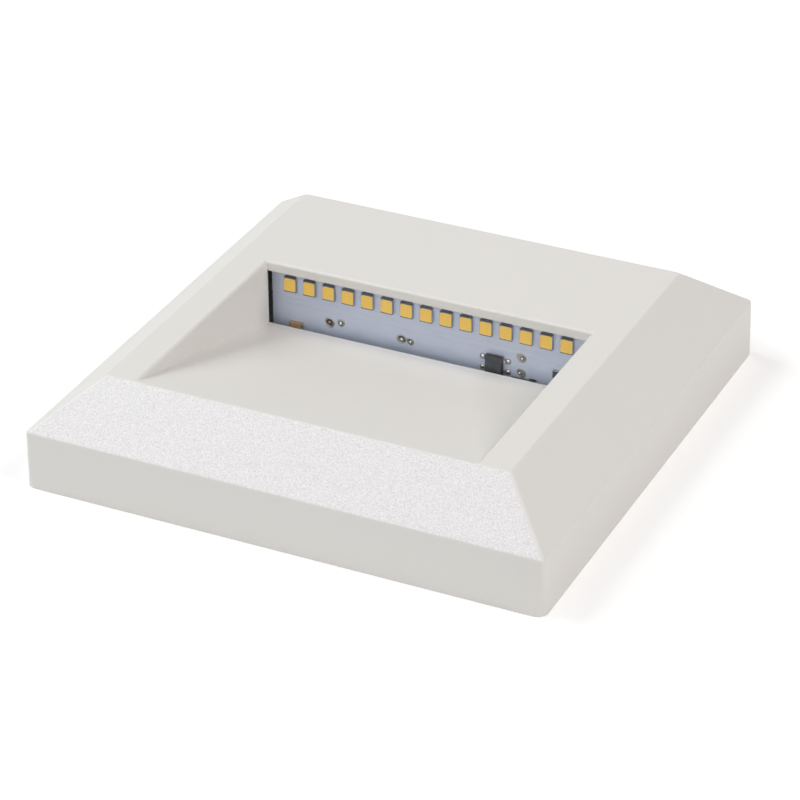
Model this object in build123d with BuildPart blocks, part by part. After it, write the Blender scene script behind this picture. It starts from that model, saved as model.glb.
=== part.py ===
from build123d import *
import math
import os

# Square surface wall light with a recessed light well, lying on its back.
# The origin is the centre of the wall face, +Z points out of the wall and +Y to the lamp end.
# All sizes are in millimetres.

os.makedirs("parts", exist_ok=True)

# Outside of the front housing.
body_width = 112.0
body_length = 112.0
body_height = 22.0
wall_height = 12.3
wall_draft = 0.5
bevel_inset = 12.5
corner_radius = 2.2
shoulder_corner_radius = 0.8
face_corner_radius = 0.8
edge_radius = 0.6

# Casting thicknesses.
shell_thickness = 2.2
bevel_thickness = 2.0
face_thickness = 2.0
well_wall = 1.8
rim_thickness = 1.8

# Light well: its floor starts at the face's front edge and falls to the lamp end.
well_width = 73.4
lip_length = 31.2
well_floor_height = 7.3

# Stack between the wall and the rim of the sealed chamber.
plate_thickness = 1.2
plate_gap = 1.5
cover_thickness = 1.8
gasket_thickness = 0.5
clip_channel = 7.5
rim_end_gap = 3.8

# Window and its seal.
window_thickness = 0.8
window_overlap = 1.7
seal_thickness = 0.2
window_to_board = 1.5

# Lamp board and its row of lamps.
board_thickness = 1.0
board_end = 3.1
board_shift = -0.9
board_top_gap = 0.4
board_bottom_gap = 0.3
lamp_count = 15
lamp_pitch = 4.5
lamp_drop = 3.6
lamp_width = 2.8
lamp_height = 3.5
lamp_thickness = 0.7
lamp_standoff = 0.1
phosphor_width = 2.4
phosphor_height = 3.0
phosphor_depth = 0.25
terminal_pad_width = 2.2
terminal_pad_reach = 0.35
terminal_pad_depth = 0.5

# Parts on the lamp board, as offsets from the board's middle and up from its lower edge.
live_joint = (-22.55, 4.3)
live_link_joint = (-19.9, 4.8)
neutral_joint = (-5.9, 4.25)
neutral_link_joint = (-3.9, 4.1)
rectifier_place = (15.5, 3.4)
varistor_place = (21.3, 4.4)
varistor_lead_spacing = 3.6
driver_place = (20.95, 0.8)
low_resistor_place = (24.0, 1.15)

# Chips near the board's ends, as distances in from the end and up from its lower edge.
end_resistor_inset = (6.95, 4.3)
capacitor_inset = (5.7, 2.0)
joint_radius = 0.95
joint_height = 0.75
board_hole_clearance = 0.05
rectifier_width = 3.9
rectifier_height = 4.7
rectifier_thickness = 1.2
rectifier_lead_pitch = 2.5
rectifier_lead_span = 6.8
rectifier_lead_width = 0.7
chip_lead_thickness = 0.25
driver_width = 3.7
driver_height = 1.4
driver_thickness = 1.1
resistor_length = 2.0
resistor_width = 1.25
resistor_thickness = 0.55
capacitor_length = 3.2
capacitor_width = 1.6
capacitor_thickness = 0.9
varistor_radius = 2.9
varistor_thickness = 3.0
varistor_lead_radius = 0.3
varistor_gap = 0.4

# Bracket behind the lamps, with the tape that bonds the board to it.
tape_thickness = 0.3
bracket_thickness = 1.5
bracket_height = 5.2
bracket_side_margin = 1.2
bracket_tab_width = 11.0
bracket_tab_depth = 8.8
bracket_screw_inset = 7.0
bracket_tab_margin = 0.9

# Screws: shank radius, head radius and head height, with the clearance of a shank in its hole.
screw_radius = 1.5
screw_head_radius = 2.75
screw_head_height = 1.9
small_screw_radius = 1.1
small_head_radius = 1.75
small_head_height = 1.3
earth_screw_radius = 2.0
earth_head_radius = 3.5
earth_head_height = 2.0
hole_clearance = 0.05
pass_clearance = 0.25
boss_wall = 1.9
slot_drive_width = 0.8
slot_drive_depth = 0.7
cover_screw_length = 8.0
bracket_screw_length = 6.0
clamp_screw_length = 7.0
earth_screw_length = 7.0
fixing_screw_length = 7.5
cover_screw_inset = 10.0
hole_end_space = 0.7

# Back cover, with two pockets that clear the heads of the wall screws.
cover_corner_radius = 2.5
pocket_width = 10.0
pocket_depth = 3.8
pocket_wall = 1.2

# Wall plate, its slots and its cable opening.
plate_edge_gap = 0.8
plate_corner_radius = 3.0
wall_slot_spacing = 60.0
wall_slot_width = 4.5
wall_slot_length = 9.0
wall_slot_y = 0.0
cable_opening_width = 28.0
cable_opening_length = 22.0
cable_opening_radius = 4.0

# Spring clips on the wall plate, which grip the inside of the housing's side walls.
clip_spacing = 40.0
clip_width = 12.0
clip_thickness = 0.5
clip_contact_height = 6.0
clip_top_height = 10.5
clip_root_gap = 0.5
clip_bow = 1.7
clip_lead_in = 2.2
clip_wall_gap = 0.05
rivet_radius = 1.25
rivet_head_radius = 1.7
rivet_head_height = 0.7

# Cable entry: a grommet in the cover for the supply cable.
cable_diameter = 7.0
grommet_side_gap = 10.7
grommet_hole_radius = 6.0
grommet_flange_radius = 7.8
grommet_flange_thickness = 1.2
grommet_nose = 0.8
grommet_nose_radius = 5.4

# Clamp that holds the supply cable.
clamp_to_grommet = 15.0
clamp_end_gap = 0.85
clamp_thickness = 1.6
clamp_width = 7.0
clamp_screw_offset = 8.6
clamp_post_height = 1.5
post_wall = 1.5
clamp_cable_clearance = 0.2

# Terminal block with three poles: earth, live and neutral from the left.
live_pole_offset = 3.7
block_gap = 1.0
block_length = 16.0
pole_pitch = 9.0
block_body_height = 6.6
block_tower_height = 11.0
block_tower_width = 5.2
block_tower_length = 12.6
block_seat_height = 0.8
block_bore_height = 3.9
block_entry_radius = 1.7
insert_size = 3.8
insert_length = 11.0
insert_bore_radius = 1.2
terminal_screw_radius = 1.2
terminal_screw_offset = 3.2
terminal_screw_top = 1.2

# Internal leads and the earth connection.
lead_radius = 0.8
core_radius = 0.4
lead_insertion = 2.0
core_length = 5.6
lead_exit = 4.1
lead_entry = 3.9
lead_dip = 0.6
earth_lead_corner = 3.2
lug_approach = 2.6
lug_side_gap = 0.8
lug_end_gap = 4.0
earth_boss_height = 6.5
lug_thickness = 0.8
lug_ring_radius = 4.2
lug_barrel_radius = 1.5
lug_barrel_start = 3.6
lug_barrel_length = 4.6

# Heights and planes that follow from the sizes above.
cover_bottom = plate_thickness + plate_gap
cover_top = cover_bottom + cover_thickness
rim_bottom = cover_top + gasket_thickness
face_underside = body_height - face_thickness
face_length = body_length - 2 * bevel_inset
face_front = -face_length / 2
lip_y = face_length / 2 - lip_length
window_front = lip_y + seal_thickness
window_back = window_front + window_thickness
board_front = window_back + window_to_board
board_back = board_front + board_thickness
lamp_face = board_front - lamp_standoff - lamp_thickness
lamp_z = face_underside - lamp_drop
board_top = face_underside - board_top_gap
board_bottom = cover_top + board_bottom_gap
board_length = lamp_pitch * (lamp_count - 1) + lamp_width + 2 * board_end
bracket_front = board_back + tape_thickness
bracket_top = board_top - board_top_gap
bracket_bottom = bracket_top - bracket_height
bracket_screw_x = board_length / 2 - bracket_screw_inset
bracket_screw_y = bracket_front + bracket_tab_depth - screw_head_radius - bracket_tab_margin

# The inner wall runs parallel to the outer one, and the inner bevel parallel to the outer bevel.
bevel_run = bevel_inset - wall_draft
bevel_rise = body_height - wall_height
bevel_shift = bevel_thickness * math.hypot(bevel_run, bevel_rise) / bevel_rise
wall_slope = wall_draft / wall_height
bevel_slope = bevel_run / bevel_rise
inner_knee_height = (shell_thickness - wall_draft + bevel_slope * wall_height - bevel_shift) / (
    bevel_slope - wall_slope
)
inner_knee_inset = shell_thickness + wall_slope * inner_knee_height
inner_face_inset = bevel_inset - bevel_slope * face_thickness + bevel_shift
inner_corner_radius = 0.5

rim_half_x = body_width / 2 - shell_thickness - clip_channel
rim_half_y = body_length / 2 - shell_thickness - rim_end_gap
cover_screw_x = rim_half_x + clip_channel / 2 - wall_slope * cover_top / 2
ear_radius = clip_channel / 2 - plate_gap / 4
floor_run = lip_y - face_front
floor_fall = body_height - well_floor_height
floor_slope = floor_fall / floor_run
floor_drop = well_wall * math.hypot(floor_run, floor_fall) / floor_run

lamp_xs = [board_shift + lamp_pitch * (i - (lamp_count - 1) / 2) for i in range(lamp_count)]


def on_board(place):
    """Turn an offset from the middle of the board's lower edge into X and Z."""
    return board_shift + place[0], board_bottom + place[1]


live_x, live_z = on_board(live_joint)
neutral_x, neutral_z = on_board(neutral_joint)
varistor_x, varistor_z = on_board(varistor_place)

# The supply cable's entry and clamp stand at the rim's lamp end, and the terminal block behind the bracket.
clamp_half = clamp_screw_offset + screw_head_radius
supply_y = rim_half_y - rim_thickness - clamp_half - clamp_end_gap
grommet_x = rim_half_x - rim_thickness - grommet_side_gap - grommet_flange_radius
clamp_x = grommet_x - clamp_to_grommet
block_x = live_x + live_pole_offset
block_y = bracket_screw_y + screw_head_radius + block_gap + block_length / 2
earth_x = -(rim_half_x - rim_thickness - lug_ring_radius - lug_side_gap)
earth_y = rim_half_y - rim_thickness - lug_ring_radius - lug_end_gap


# Inside of the housing, less the well, the rim and the bosses that stand in it.
boss_radius = screw_radius + boss_wall
earth_boss_radius = earth_screw_radius + boss_wall
bracket_boss_bottom = bracket_bottom + bracket_thickness
earth_boss_bottom = face_underside - earth_boss_height
cover_screw_y = rim_half_y - cover_screw_inset
cover_screw_places = [(sx * cover_screw_x, sy * cover_screw_y) for sx in (-1, 1) for sy in (-1, 1)]
bracket_screw_places = [(board_shift + s * bracket_screw_x, bracket_screw_y) for s in (-1, 1)]


def section(height, inset, radius):
    """Sketch a level section of the housing at a height, drawn in from its wall face by inset."""
    with BuildSketch(Plane.XY.offset(height)) as outline:
        RectangleRounded(body_width - 2 * inset, body_length - 2 * inset, radius)
    return outline.sketch


with BuildPart() as cavity:
    loft(
        sections=[
            section(0, shell_thickness, inner_corner_radius),
            section(inner_knee_height, inner_knee_inset, inner_corner_radius),
            section(face_underside, inner_face_inset, inner_corner_radius),
        ],
        ruled=True,
    )
    # The well's floor and cheeks.
    with BuildSketch(Plane.YZ):
        with BuildLine():
            Polyline(
                (face_front - floor_drop / floor_slope, body_height),
                (lip_y, well_floor_height - floor_drop),
                (lip_y, body_height),
                close=True,
            )
        make_face()
    extrude(amount=well_width / 2 + well_wall, both=True, mode=Mode.SUBTRACT)
    # The rim that the back cover closes.
    with BuildSketch(Plane.XY.offset(rim_bottom)):
        RectangleRounded(2 * rim_half_x, 2 * rim_half_y, cover_corner_radius)
        RectangleRounded(
            2 * (rim_half_x - rim_thickness),
            2 * (rim_half_y - rim_thickness),
            cover_corner_radius - rim_thickness / 2,
            mode=Mode.SUBTRACT,
        )
    extrude(amount=body_height - rim_bottom, mode=Mode.SUBTRACT)
    # Bosses for the cover screws fill the channel between the rim and the side wall.
    with BuildSketch(Plane.XY.offset(cover_top)):
        for side in (-1, 1):
            with Locations(*[(side * rim_half_x, end * cover_screw_y) for end in (-1, 1)]):
                Rectangle(
                    clip_channel + shell_thickness / 2,
                    2 * ear_radius,
                    align=(Align.MIN if side > 0 else Align.MAX, Align.CENTER),
                )
    extrude(amount=body_height - cover_top, mode=Mode.SUBTRACT)
    # Bosses for the bracket screws and the earth screw.
    with BuildSketch(Plane.XY.offset(bracket_boss_bottom)):
        with Locations(*bracket_screw_places):
            Circle(boss_radius)
    extrude(amount=body_height - bracket_boss_bottom, mode=Mode.SUBTRACT)
    with BuildSketch(Plane.XY.offset(earth_boss_bottom)):
        with Locations((earth_x, earth_y)):
            Circle(earth_boss_radius)
    extrude(amount=body_height - earth_boss_bottom, mode=Mode.SUBTRACT)

# Front housing: die-cast shell with the light well.
with BuildPart() as front_housing:
    loft(
        sections=[
            section(0, 0, corner_radius),
            section(wall_height, wall_draft, shoulder_corner_radius),
            section(body_height, bevel_inset, face_corner_radius),
        ],
        ruled=True,
    )
    shoulder_edges = front_housing.edges().filter_by_position(Axis.Z, wall_height, wall_height)
    fillet(shoulder_edges, edge_radius)
    with BuildSketch(Plane.YZ):
        with BuildLine():
            Polyline(
                (face_front, body_height),
                (lip_y, well_floor_height),
                (lip_y, body_height),
                close=True,
            )
        make_face()
    extrude(amount=well_width / 2, both=True, mode=Mode.SUBTRACT)
    face_edges = front_housing.edges().filter_by_position(Axis.Z, body_height, body_height)
    fillet(face_edges, edge_radius)
    add(cavity.part, mode=Mode.SUBTRACT)
    with Locations(*[(x, y, cover_top) for x, y in cover_screw_places]):
        Cylinder(
            screw_radius + hole_clearance,
            cover_screw_length - cover_thickness + hole_end_space,
            align=(Align.CENTER, Align.CENTER, Align.MIN),
            mode=Mode.SUBTRACT,
        )
    with Locations(*[(x, y, bracket_boss_bottom) for x, y in bracket_screw_places]):
        Cylinder(
            screw_radius + hole_clearance,
            bracket_screw_length - bracket_thickness + hole_end_space,
            align=(Align.CENTER, Align.CENTER, Align.MIN),
            mode=Mode.SUBTRACT,
        )
    with Locations((earth_x, earth_y, earth_boss_bottom)):
        Cylinder(
            earth_screw_radius + hole_clearance,
            earth_screw_length - lug_thickness + hole_end_space / 2,
            align=(Align.CENTER, Align.CENTER, Align.MIN),
            mode=Mode.SUBTRACT,
        )
front_housing.part.label = "front_housing"
export_step(front_housing.part, "parts/front_housing.step")

# Seal: a thin frame with a raised edge, bonded to the ends of the well's floor and cheeks.
window_half_x = well_width / 2 + window_overlap
window_bottom = well_floor_height - window_overlap
window_top = face_underside - seal_thickness
window_mid_z = (window_bottom + window_top) / 2

with BuildPart() as window_seal:
    with BuildSketch(Plane.XZ.offset(-lip_y)):
        with Locations((0, (window_bottom - seal_thickness + face_underside) / 2)):
            Rectangle(2 * (window_half_x + seal_thickness), face_underside - window_bottom + seal_thickness)
        with Locations((0, (well_floor_height + window_top) / 2)):
            Rectangle(well_width, window_top - well_floor_height, mode=Mode.SUBTRACT)
    extrude(amount=-seal_thickness)
    with BuildSketch(Plane.XZ.offset(-window_front)):
        with Locations((0, (window_bottom - seal_thickness + face_underside) / 2)):
            Rectangle(2 * (window_half_x + seal_thickness), face_underside - window_bottom + seal_thickness)
        with Locations((0, window_mid_z)):
            Rectangle(2 * window_half_x, window_top - window_bottom, mode=Mode.SUBTRACT)
    extrude(amount=-window_thickness)
window_seal.part.label = "window_seal"
export_step(window_seal.part, "parts/window_seal.step")

# Clear window in front of the lamps.
with BuildPart() as light_window:
    with BuildSketch(Plane.XZ.offset(-window_front)):
        with Locations((0, window_mid_z)):
            Rectangle(2 * window_half_x, window_top - window_bottom)
    extrude(amount=-window_thickness)
light_window.part.label = "light_window"
export_step(light_window.part, "parts/light_window.step")

# Lamp board, with holes for the two leads and the varistor.
varistor_lead_zs = [varistor_z - varistor_lead_spacing / 2, varistor_z + varistor_lead_spacing / 2]

with BuildPart() as led_board:
    with BuildSketch(Plane.XZ.offset(-board_front)):
        with Locations((board_shift, (board_bottom + board_top) / 2)):
            Rectangle(board_length, board_top - board_bottom)
        with Locations((live_x, live_z), (neutral_x, neutral_z)):
            Circle(core_radius + board_hole_clearance, mode=Mode.SUBTRACT)
        with Locations(*[(varistor_x, z) for z in varistor_lead_zs]):
            Circle(varistor_lead_radius + board_hole_clearance, mode=Mode.SUBTRACT)
    extrude(amount=-board_thickness)
led_board.part.label = "led_board"
export_step(led_board.part, "parts/led_board.step")

# Lamp packages, each with a pocket for its phosphor.
with BuildPart() as led_packages:
    with BuildSketch(Plane.XZ.offset(-lamp_face)):
        with Locations(*[(x, lamp_z) for x in lamp_xs]):
            Rectangle(lamp_width, lamp_height)
    extrude(amount=-lamp_thickness)
    with BuildSketch(Plane.XZ.offset(-lamp_face)):
        with Locations(*[(x, lamp_z) for x in lamp_xs]):
            Rectangle(phosphor_width, phosphor_height)
    extrude(amount=-phosphor_depth, mode=Mode.SUBTRACT)
led_packages.part.label = "led_packages"
export_step(led_packages.part, "parts/led_packages.step")

# Phosphor fills, flush with the packages.
with BuildPart() as led_phosphors:
    with BuildSketch(Plane.XZ.offset(-lamp_face)):
        with Locations(*[(x, lamp_z) for x in lamp_xs]):
            Rectangle(phosphor_width, phosphor_height)
    extrude(amount=-phosphor_depth)
led_phosphors.part.label = "led_phosphors"
export_step(led_phosphors.part, "parts/led_phosphors.step")

# Lamp terminals: one metal pad at each end of each package, standing on the board.
with BuildPart() as led_terminals:
    with BuildSketch(Plane.XZ.offset(-board_front)):
        for side in (-1, 1):
            with Locations(*[(x, lamp_z + side * (lamp_height + terminal_pad_reach) / 2) for x in lamp_xs]):
                Rectangle(terminal_pad_width, terminal_pad_reach)
    extrude(amount=terminal_pad_depth)
led_terminals.part.label = "led_terminals"
export_step(led_terminals.part, "parts/led_terminals.step")

# Thermal pads under the packages fill their stand-off.
with BuildPart() as led_solder_pads:
    with BuildSketch(Plane.XZ.offset(-board_front)):
        with Locations(*[(x, lamp_z) for x in lamp_xs]):
            Rectangle(terminal_pad_width, lamp_height - 2 * terminal_pad_reach)
    extrude(amount=lamp_standoff)
led_solder_pads.part.label = "led_solder_pads"
export_step(led_solder_pads.part, "parts/led_solder_pads.step")

# Bridge rectifier: moulded body on four bent leads.
rectifier_x, rectifier_z = on_board(rectifier_place)
rectifier_back = board_front - chip_lead_thickness
lead_overhang = (rectifier_lead_span - rectifier_width) / 2

with BuildPart() as rectifier_body:
    with BuildSketch(Plane.XZ.offset(-rectifier_back)):
        with Locations((rectifier_x, rectifier_z)):
            Rectangle(rectifier_width, rectifier_height)
    extrude(amount=rectifier_thickness, taper=5)
rectifier_body.part.label = "rectifier_body"
export_step(rectifier_body.part, "parts/rectifier_body.step")

with BuildPart() as rectifier_leads:
    with BuildSketch(Plane.XZ.offset(-board_front)):
        for side in (-1, 1):
            lead_x = rectifier_x + side * (rectifier_width / 2 + lead_overhang / 2)
            for level in (-1, 1):
                with Locations((lead_x, rectifier_z + level * rectifier_lead_pitch / 2)):
                    Rectangle(lead_overhang, rectifier_lead_width)
    extrude(amount=chip_lead_thickness)
    with BuildSketch(Plane.XZ.offset(-rectifier_back)):
        for side in (-1, 1):
            shoulder_x = rectifier_x + side * (rectifier_width / 2 + lead_overhang / 4)
            for level in (-1, 1):
                with Locations((shoulder_x, rectifier_z + level * rectifier_lead_pitch / 2)):
                    Rectangle(lead_overhang / 2, rectifier_lead_width)
    extrude(amount=chip_lead_thickness)
rectifier_leads.part.label = "rectifier_leads"
export_step(rectifier_leads.part, "parts/rectifier_leads.step")

# Current driver chip.
driver_x, driver_z = on_board(driver_place)

with BuildPart() as driver_chip:
    with BuildSketch(Plane.XZ.offset(-board_front)):
        with Locations((driver_x, driver_z)):
            Rectangle(driver_width, driver_height)
    extrude(amount=driver_thickness)
    chamfer(driver_chip.faces().sort_by(Axis.Y)[0].edges(), driver_thickness / 6)
driver_chip.part.label = "driver_chip"
export_step(driver_chip.part, "parts/driver_chip.step")

# Chip resistors, one on end near the board's right end and one low beside the driver chip.
end_resistor_x, end_resistor_z = on_board((board_length / 2 - end_resistor_inset[0], end_resistor_inset[1]))
low_resistor_x, low_resistor_z = on_board(low_resistor_place)

with BuildPart() as chip_resistors:
    with BuildSketch(Plane.XZ.offset(-board_front)):
        with Locations((end_resistor_x, end_resistor_z)):
            Rectangle(resistor_width, resistor_length)
        with Locations((low_resistor_x, low_resistor_z)):
            Rectangle(resistor_length, resistor_width)
    extrude(amount=resistor_thickness)
chip_resistors.part.label = "chip_resistors"
export_step(chip_resistors.part, "parts/chip_resistors.step")

# Chip capacitor near the board's left end.
capacitor_x, capacitor_z = on_board((capacitor_inset[0] - board_length / 2, capacitor_inset[1]))

with BuildPart() as chip_capacitor:
    with BuildSketch(Plane.XZ.offset(-board_front)):
        with Locations((capacitor_x, capacitor_z)):
            Rectangle(capacitor_length, capacitor_width)
    extrude(amount=capacitor_thickness)
chip_capacitor.part.label = "chip_capacitor"
export_step(chip_capacitor.part, "parts/chip_capacitor.step")

# Varistor: a disc on edge behind the board, its two leads through the board.
varistor_y = bracket_front + bracket_thickness + varistor_gap + varistor_radius

with BuildPart() as varistor:
    with BuildSketch(Plane.YZ.offset(varistor_x)):
        with Locations((varistor_y, varistor_z)):
            Circle(varistor_radius)
    extrude(amount=varistor_thickness / 2, both=True)
    fillet(varistor.edges().filter_by(GeomType.CIRCLE), varistor_thickness / 4)
    with BuildSketch(Plane.XZ.offset(-board_front)):
        with Locations(*[(varistor_x, z) for z in varistor_lead_zs]):
            Circle(varistor_lead_radius)
    extrude(amount=board_front - varistor_y)
varistor.part.label = "varistor"
export_step(varistor.part, "parts/varistor.step")

# Solder joints: domes on the board's front, over the leads and the varistor's ends.
joint_places = [on_board(p) for p in (live_joint, live_link_joint, neutral_joint, neutral_link_joint)]
joint_places += [(varistor_x, z) for z in varistor_lead_zs]
dome_radius = (joint_radius**2 + joint_height**2) / (2 * joint_height)
link_spacing = neutral_link_joint[0] - neutral_joint[0]
joint_trim = min(joint_radius, 0.45 * link_spacing)

with BuildPart() as solder_joints:
    with Locations(*[(x, board_front + dome_radius - joint_height, z) for x, z in joint_places]):
        Sphere(dome_radius)
    with BuildSketch(Plane.XZ.offset(-board_front)):
        with Locations(*joint_places):
            Circle(joint_trim)
    extrude(amount=2 * joint_height, mode=Mode.INTERSECT)
solder_joints.part.label = "solder_joints"
export_step(solder_joints.part, "parts/solder_joints.step")

# Tape between the board and its bracket.
with BuildPart() as thermal_tape:
    with BuildSketch(Plane.XZ.offset(-board_back)):
        with Locations((board_shift, (bracket_bottom + bracket_top) / 2)):
            Rectangle(board_length - 2 * bracket_side_margin, bracket_height)
    extrude(amount=-tape_thickness)
thermal_tape.part.label = "thermal_tape"
export_step(thermal_tape.part, "parts/thermal_tape.step")

# Bracket: an aluminium strip behind the lamps with two tabs under the housing's bosses.
with BuildPart() as board_bracket:
    with BuildSketch(Plane.XZ.offset(-bracket_front)):
        with Locations((board_shift, (bracket_bottom + bracket_top) / 2)):
            Rectangle(board_length - 2 * bracket_side_margin, bracket_height)
    extrude(amount=-bracket_thickness)
    with BuildSketch(Plane.XY.offset(bracket_bottom)):
        with Locations(*[(x, bracket_front + bracket_tab_depth / 2) for x, y in bracket_screw_places]):
            Rectangle(bracket_tab_width, bracket_tab_depth)
    extrude(amount=bracket_thickness)
    with Locations(*[(x, y, bracket_bottom) for x, y in bracket_screw_places]):
        Cylinder(
            screw_radius + pass_clearance,
            bracket_thickness,
            align=(Align.CENTER, Align.CENTER, Align.MIN),
            mode=Mode.SUBTRACT,
        )
    tab_corners = board_bracket.edges().filter_by(Axis.Z).group_by(Axis.Y)[-1]
    fillet(tab_corners, bracket_thickness)
board_bracket.part.label = "board_bracket"
export_step(board_bracket.part, "parts/board_bracket.step")


def pan_screw(seat, direction, shank, head, head_height, length):
    """Make a slotted pan-head screw whose head stands on the seat and whose shank runs along direction."""
    with BuildPart(Plane(origin=seat, z_dir=direction)) as screw:
        Cylinder(shank, length, align=(Align.CENTER, Align.CENTER, Align.MIN))
        chamfer(screw.edges().group_by(Axis.Z)[-1 if direction[2] > 0 else 0], shank / 4)
        Cylinder(head, head_height, align=(Align.CENTER, Align.CENTER, Align.MAX))
        fillet(screw.edges().group_by(Axis.Z)[0 if direction[2] > 0 else -1], head_height / 3)
        with Locations((0, 0, -head_height)):
            Box(
                2 * head,
                slot_drive_width,
                2 * slot_drive_depth,
                mode=Mode.SUBTRACT,
            )
    return screw.part


# Screws that hold the bracket, driven from the wall side.
with BuildPart() as bracket_screws:
    for x, y in bracket_screw_places:
        add(
            pan_screw(
                (x, y, bracket_bottom),
                (0, 0, 1),
                screw_radius,
                screw_head_radius,
                screw_head_height,
                bracket_screw_length,
            )
        )
bracket_screws.part.label = "bracket_screws"
export_step(bracket_screws.part, "parts/bracket_screws.step")

# Gasket between the rim and the cover.
with BuildPart() as cover_gasket:
    with BuildSketch(Plane.XY.offset(cover_top)):
        RectangleRounded(2 * rim_half_x, 2 * rim_half_y, cover_corner_radius)
        RectangleRounded(
            2 * (rim_half_x - rim_thickness),
            2 * (rim_half_y - rim_thickness),
            cover_corner_radius - rim_thickness / 2,
            mode=Mode.SUBTRACT,
        )
    extrude(amount=gasket_thickness)
cover_gasket.part.label = "cover_gasket"
export_step(cover_gasket.part, "parts/cover_gasket.step")

# Back cover: plastic tray floor with ears, screw-head pockets and posts.
clamp_places = [(clamp_x, supply_y + s * clamp_screw_offset) for s in (-1, 1)]
block_fixing_places = [(block_x + s * pole_pitch / 2, block_y) for s in (-1, 1)]
pocket_places = [(s * wall_slot_spacing / 2, wall_slot_y) for s in (-1, 1)]
pocket_length = pocket_width + wall_slot_length - wall_slot_width
pocket_ceiling = plate_thickness + pocket_depth
post_radius = screw_radius + post_wall
cover_skin = 0.8

with BuildPart() as back_cover:
    with BuildSketch(Plane.XY.offset(cover_bottom)):
        RectangleRounded(2 * rim_half_x, 2 * rim_half_y, cover_corner_radius)
        with Locations(*cover_screw_places):
            Circle(ear_radius)
        with Locations((0, -cover_screw_y), (0, cover_screw_y)):
            Rectangle(2 * cover_screw_x, 2 * ear_radius)
    extrude(amount=cover_thickness)
    with BuildSketch(Plane.XY.offset(cover_bottom)):
        with Locations(*pocket_places):
            SlotOverall(pocket_length + 2 * pocket_wall, pocket_width + 2 * pocket_wall)
    extrude(amount=pocket_ceiling + pocket_wall - cover_bottom)
    with BuildSketch(Plane.XY.offset(cover_bottom)):
        with Locations(*pocket_places):
            SlotOverall(pocket_length, pocket_width)
    extrude(amount=pocket_ceiling - cover_bottom, mode=Mode.SUBTRACT)
    with BuildSketch(Plane.XY.offset(cover_top)):
        with Locations(*clamp_places):
            Circle(post_radius)
    extrude(amount=clamp_post_height)
    with BuildSketch(Plane.XY.offset(cover_top)):
        with Locations(*block_fixing_places):
            Circle(small_screw_radius + post_wall)
    extrude(amount=block_seat_height)
    with Locations((grommet_x, supply_y, cover_bottom)):
        Cylinder(
            grommet_hole_radius,
            cover_thickness,
            align=(Align.CENTER, Align.CENTER, Align.MIN),
            mode=Mode.SUBTRACT,
        )
    with Locations(*[(x, y, cover_bottom + cover_skin) for x, y in clamp_places]):
        Cylinder(
            screw_radius + hole_clearance,
            cover_thickness - cover_skin + clamp_post_height,
            align=(Align.CENTER, Align.CENTER, Align.MIN),
            mode=Mode.SUBTRACT,
        )
    with Locations(*[(x, y, cover_bottom + cover_skin) for x, y in block_fixing_places]):
        Cylinder(
            small_screw_radius + hole_clearance,
            cover_thickness - cover_skin + block_seat_height,
            align=(Align.CENTER, Align.CENTER, Align.MIN),
            mode=Mode.SUBTRACT,
        )
    with Locations(*[(x, y, cover_bottom) for x, y in cover_screw_places]):
        Cylinder(
            screw_radius + pass_clearance,
            cover_thickness,
            align=(Align.CENTER, Align.CENTER, Align.MIN),
            mode=Mode.SUBTRACT,
        )
        Cone(
            screw_head_radius + pass_clearance,
            screw_radius + pass_clearance,
            cover_thickness * 0.75,
            align=(Align.CENTER, Align.CENTER, Align.MIN),
            mode=Mode.SUBTRACT,
        )
back_cover.part.label = "back_cover"
export_step(back_cover.part, "parts/back_cover.step")

# Countersunk screws through the cover's ears.
with BuildPart() as cover_screws:
    with Locations(*[(x, y, cover_bottom) for x, y in cover_screw_places]):
        Cylinder(screw_radius, cover_screw_length, align=(Align.CENTER, Align.CENTER, Align.MIN))
        Cone(
            screw_head_radius,
            screw_radius,
            cover_thickness * 0.75,
            align=(Align.CENTER, Align.CENTER, Align.MIN),
        )
        Box(
            2 * screw_head_radius,
            slot_drive_width,
            2 * slot_drive_depth,
            mode=Mode.SUBTRACT,
        )
cover_screws.part.label = "cover_screws"
export_step(cover_screws.part, "parts/cover_screws.step")

# Grommet in the cover, with flanges on both sides and a nose towards the wall.
grommet_bottom = cover_bottom - grommet_nose
grommet_top = cover_top + grommet_flange_thickness

with BuildPart() as cable_grommet:
    with BuildSketch(Plane.XZ.offset(-supply_y)):
        with BuildLine():
            Polyline(
                (grommet_x + cable_diameter / 2, grommet_bottom),
                (grommet_x + grommet_nose_radius, grommet_bottom),
                (grommet_x + grommet_hole_radius, cover_bottom),
                (grommet_x + grommet_hole_radius, cover_top),
                (grommet_x + grommet_flange_radius, cover_top),
                (grommet_x + grommet_nose_radius, grommet_top),
                (grommet_x + cable_diameter / 2, grommet_top),
                close=True,
            )
        make_face()
    revolve(axis=Axis((grommet_x, supply_y, 0), (0, 0, 1)))
cable_grommet.part.label = "cable_grommet"
export_step(cable_grommet.part, "parts/cable_grommet.step")

# Clamp: a strap with an arch over the supply cable, on two posts of the cover.
cable_z = cover_top + cable_diameter / 2
arch_radius = cable_diameter / 2 + clamp_cable_clearance
clamp_foot = cover_top + clamp_post_height

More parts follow.
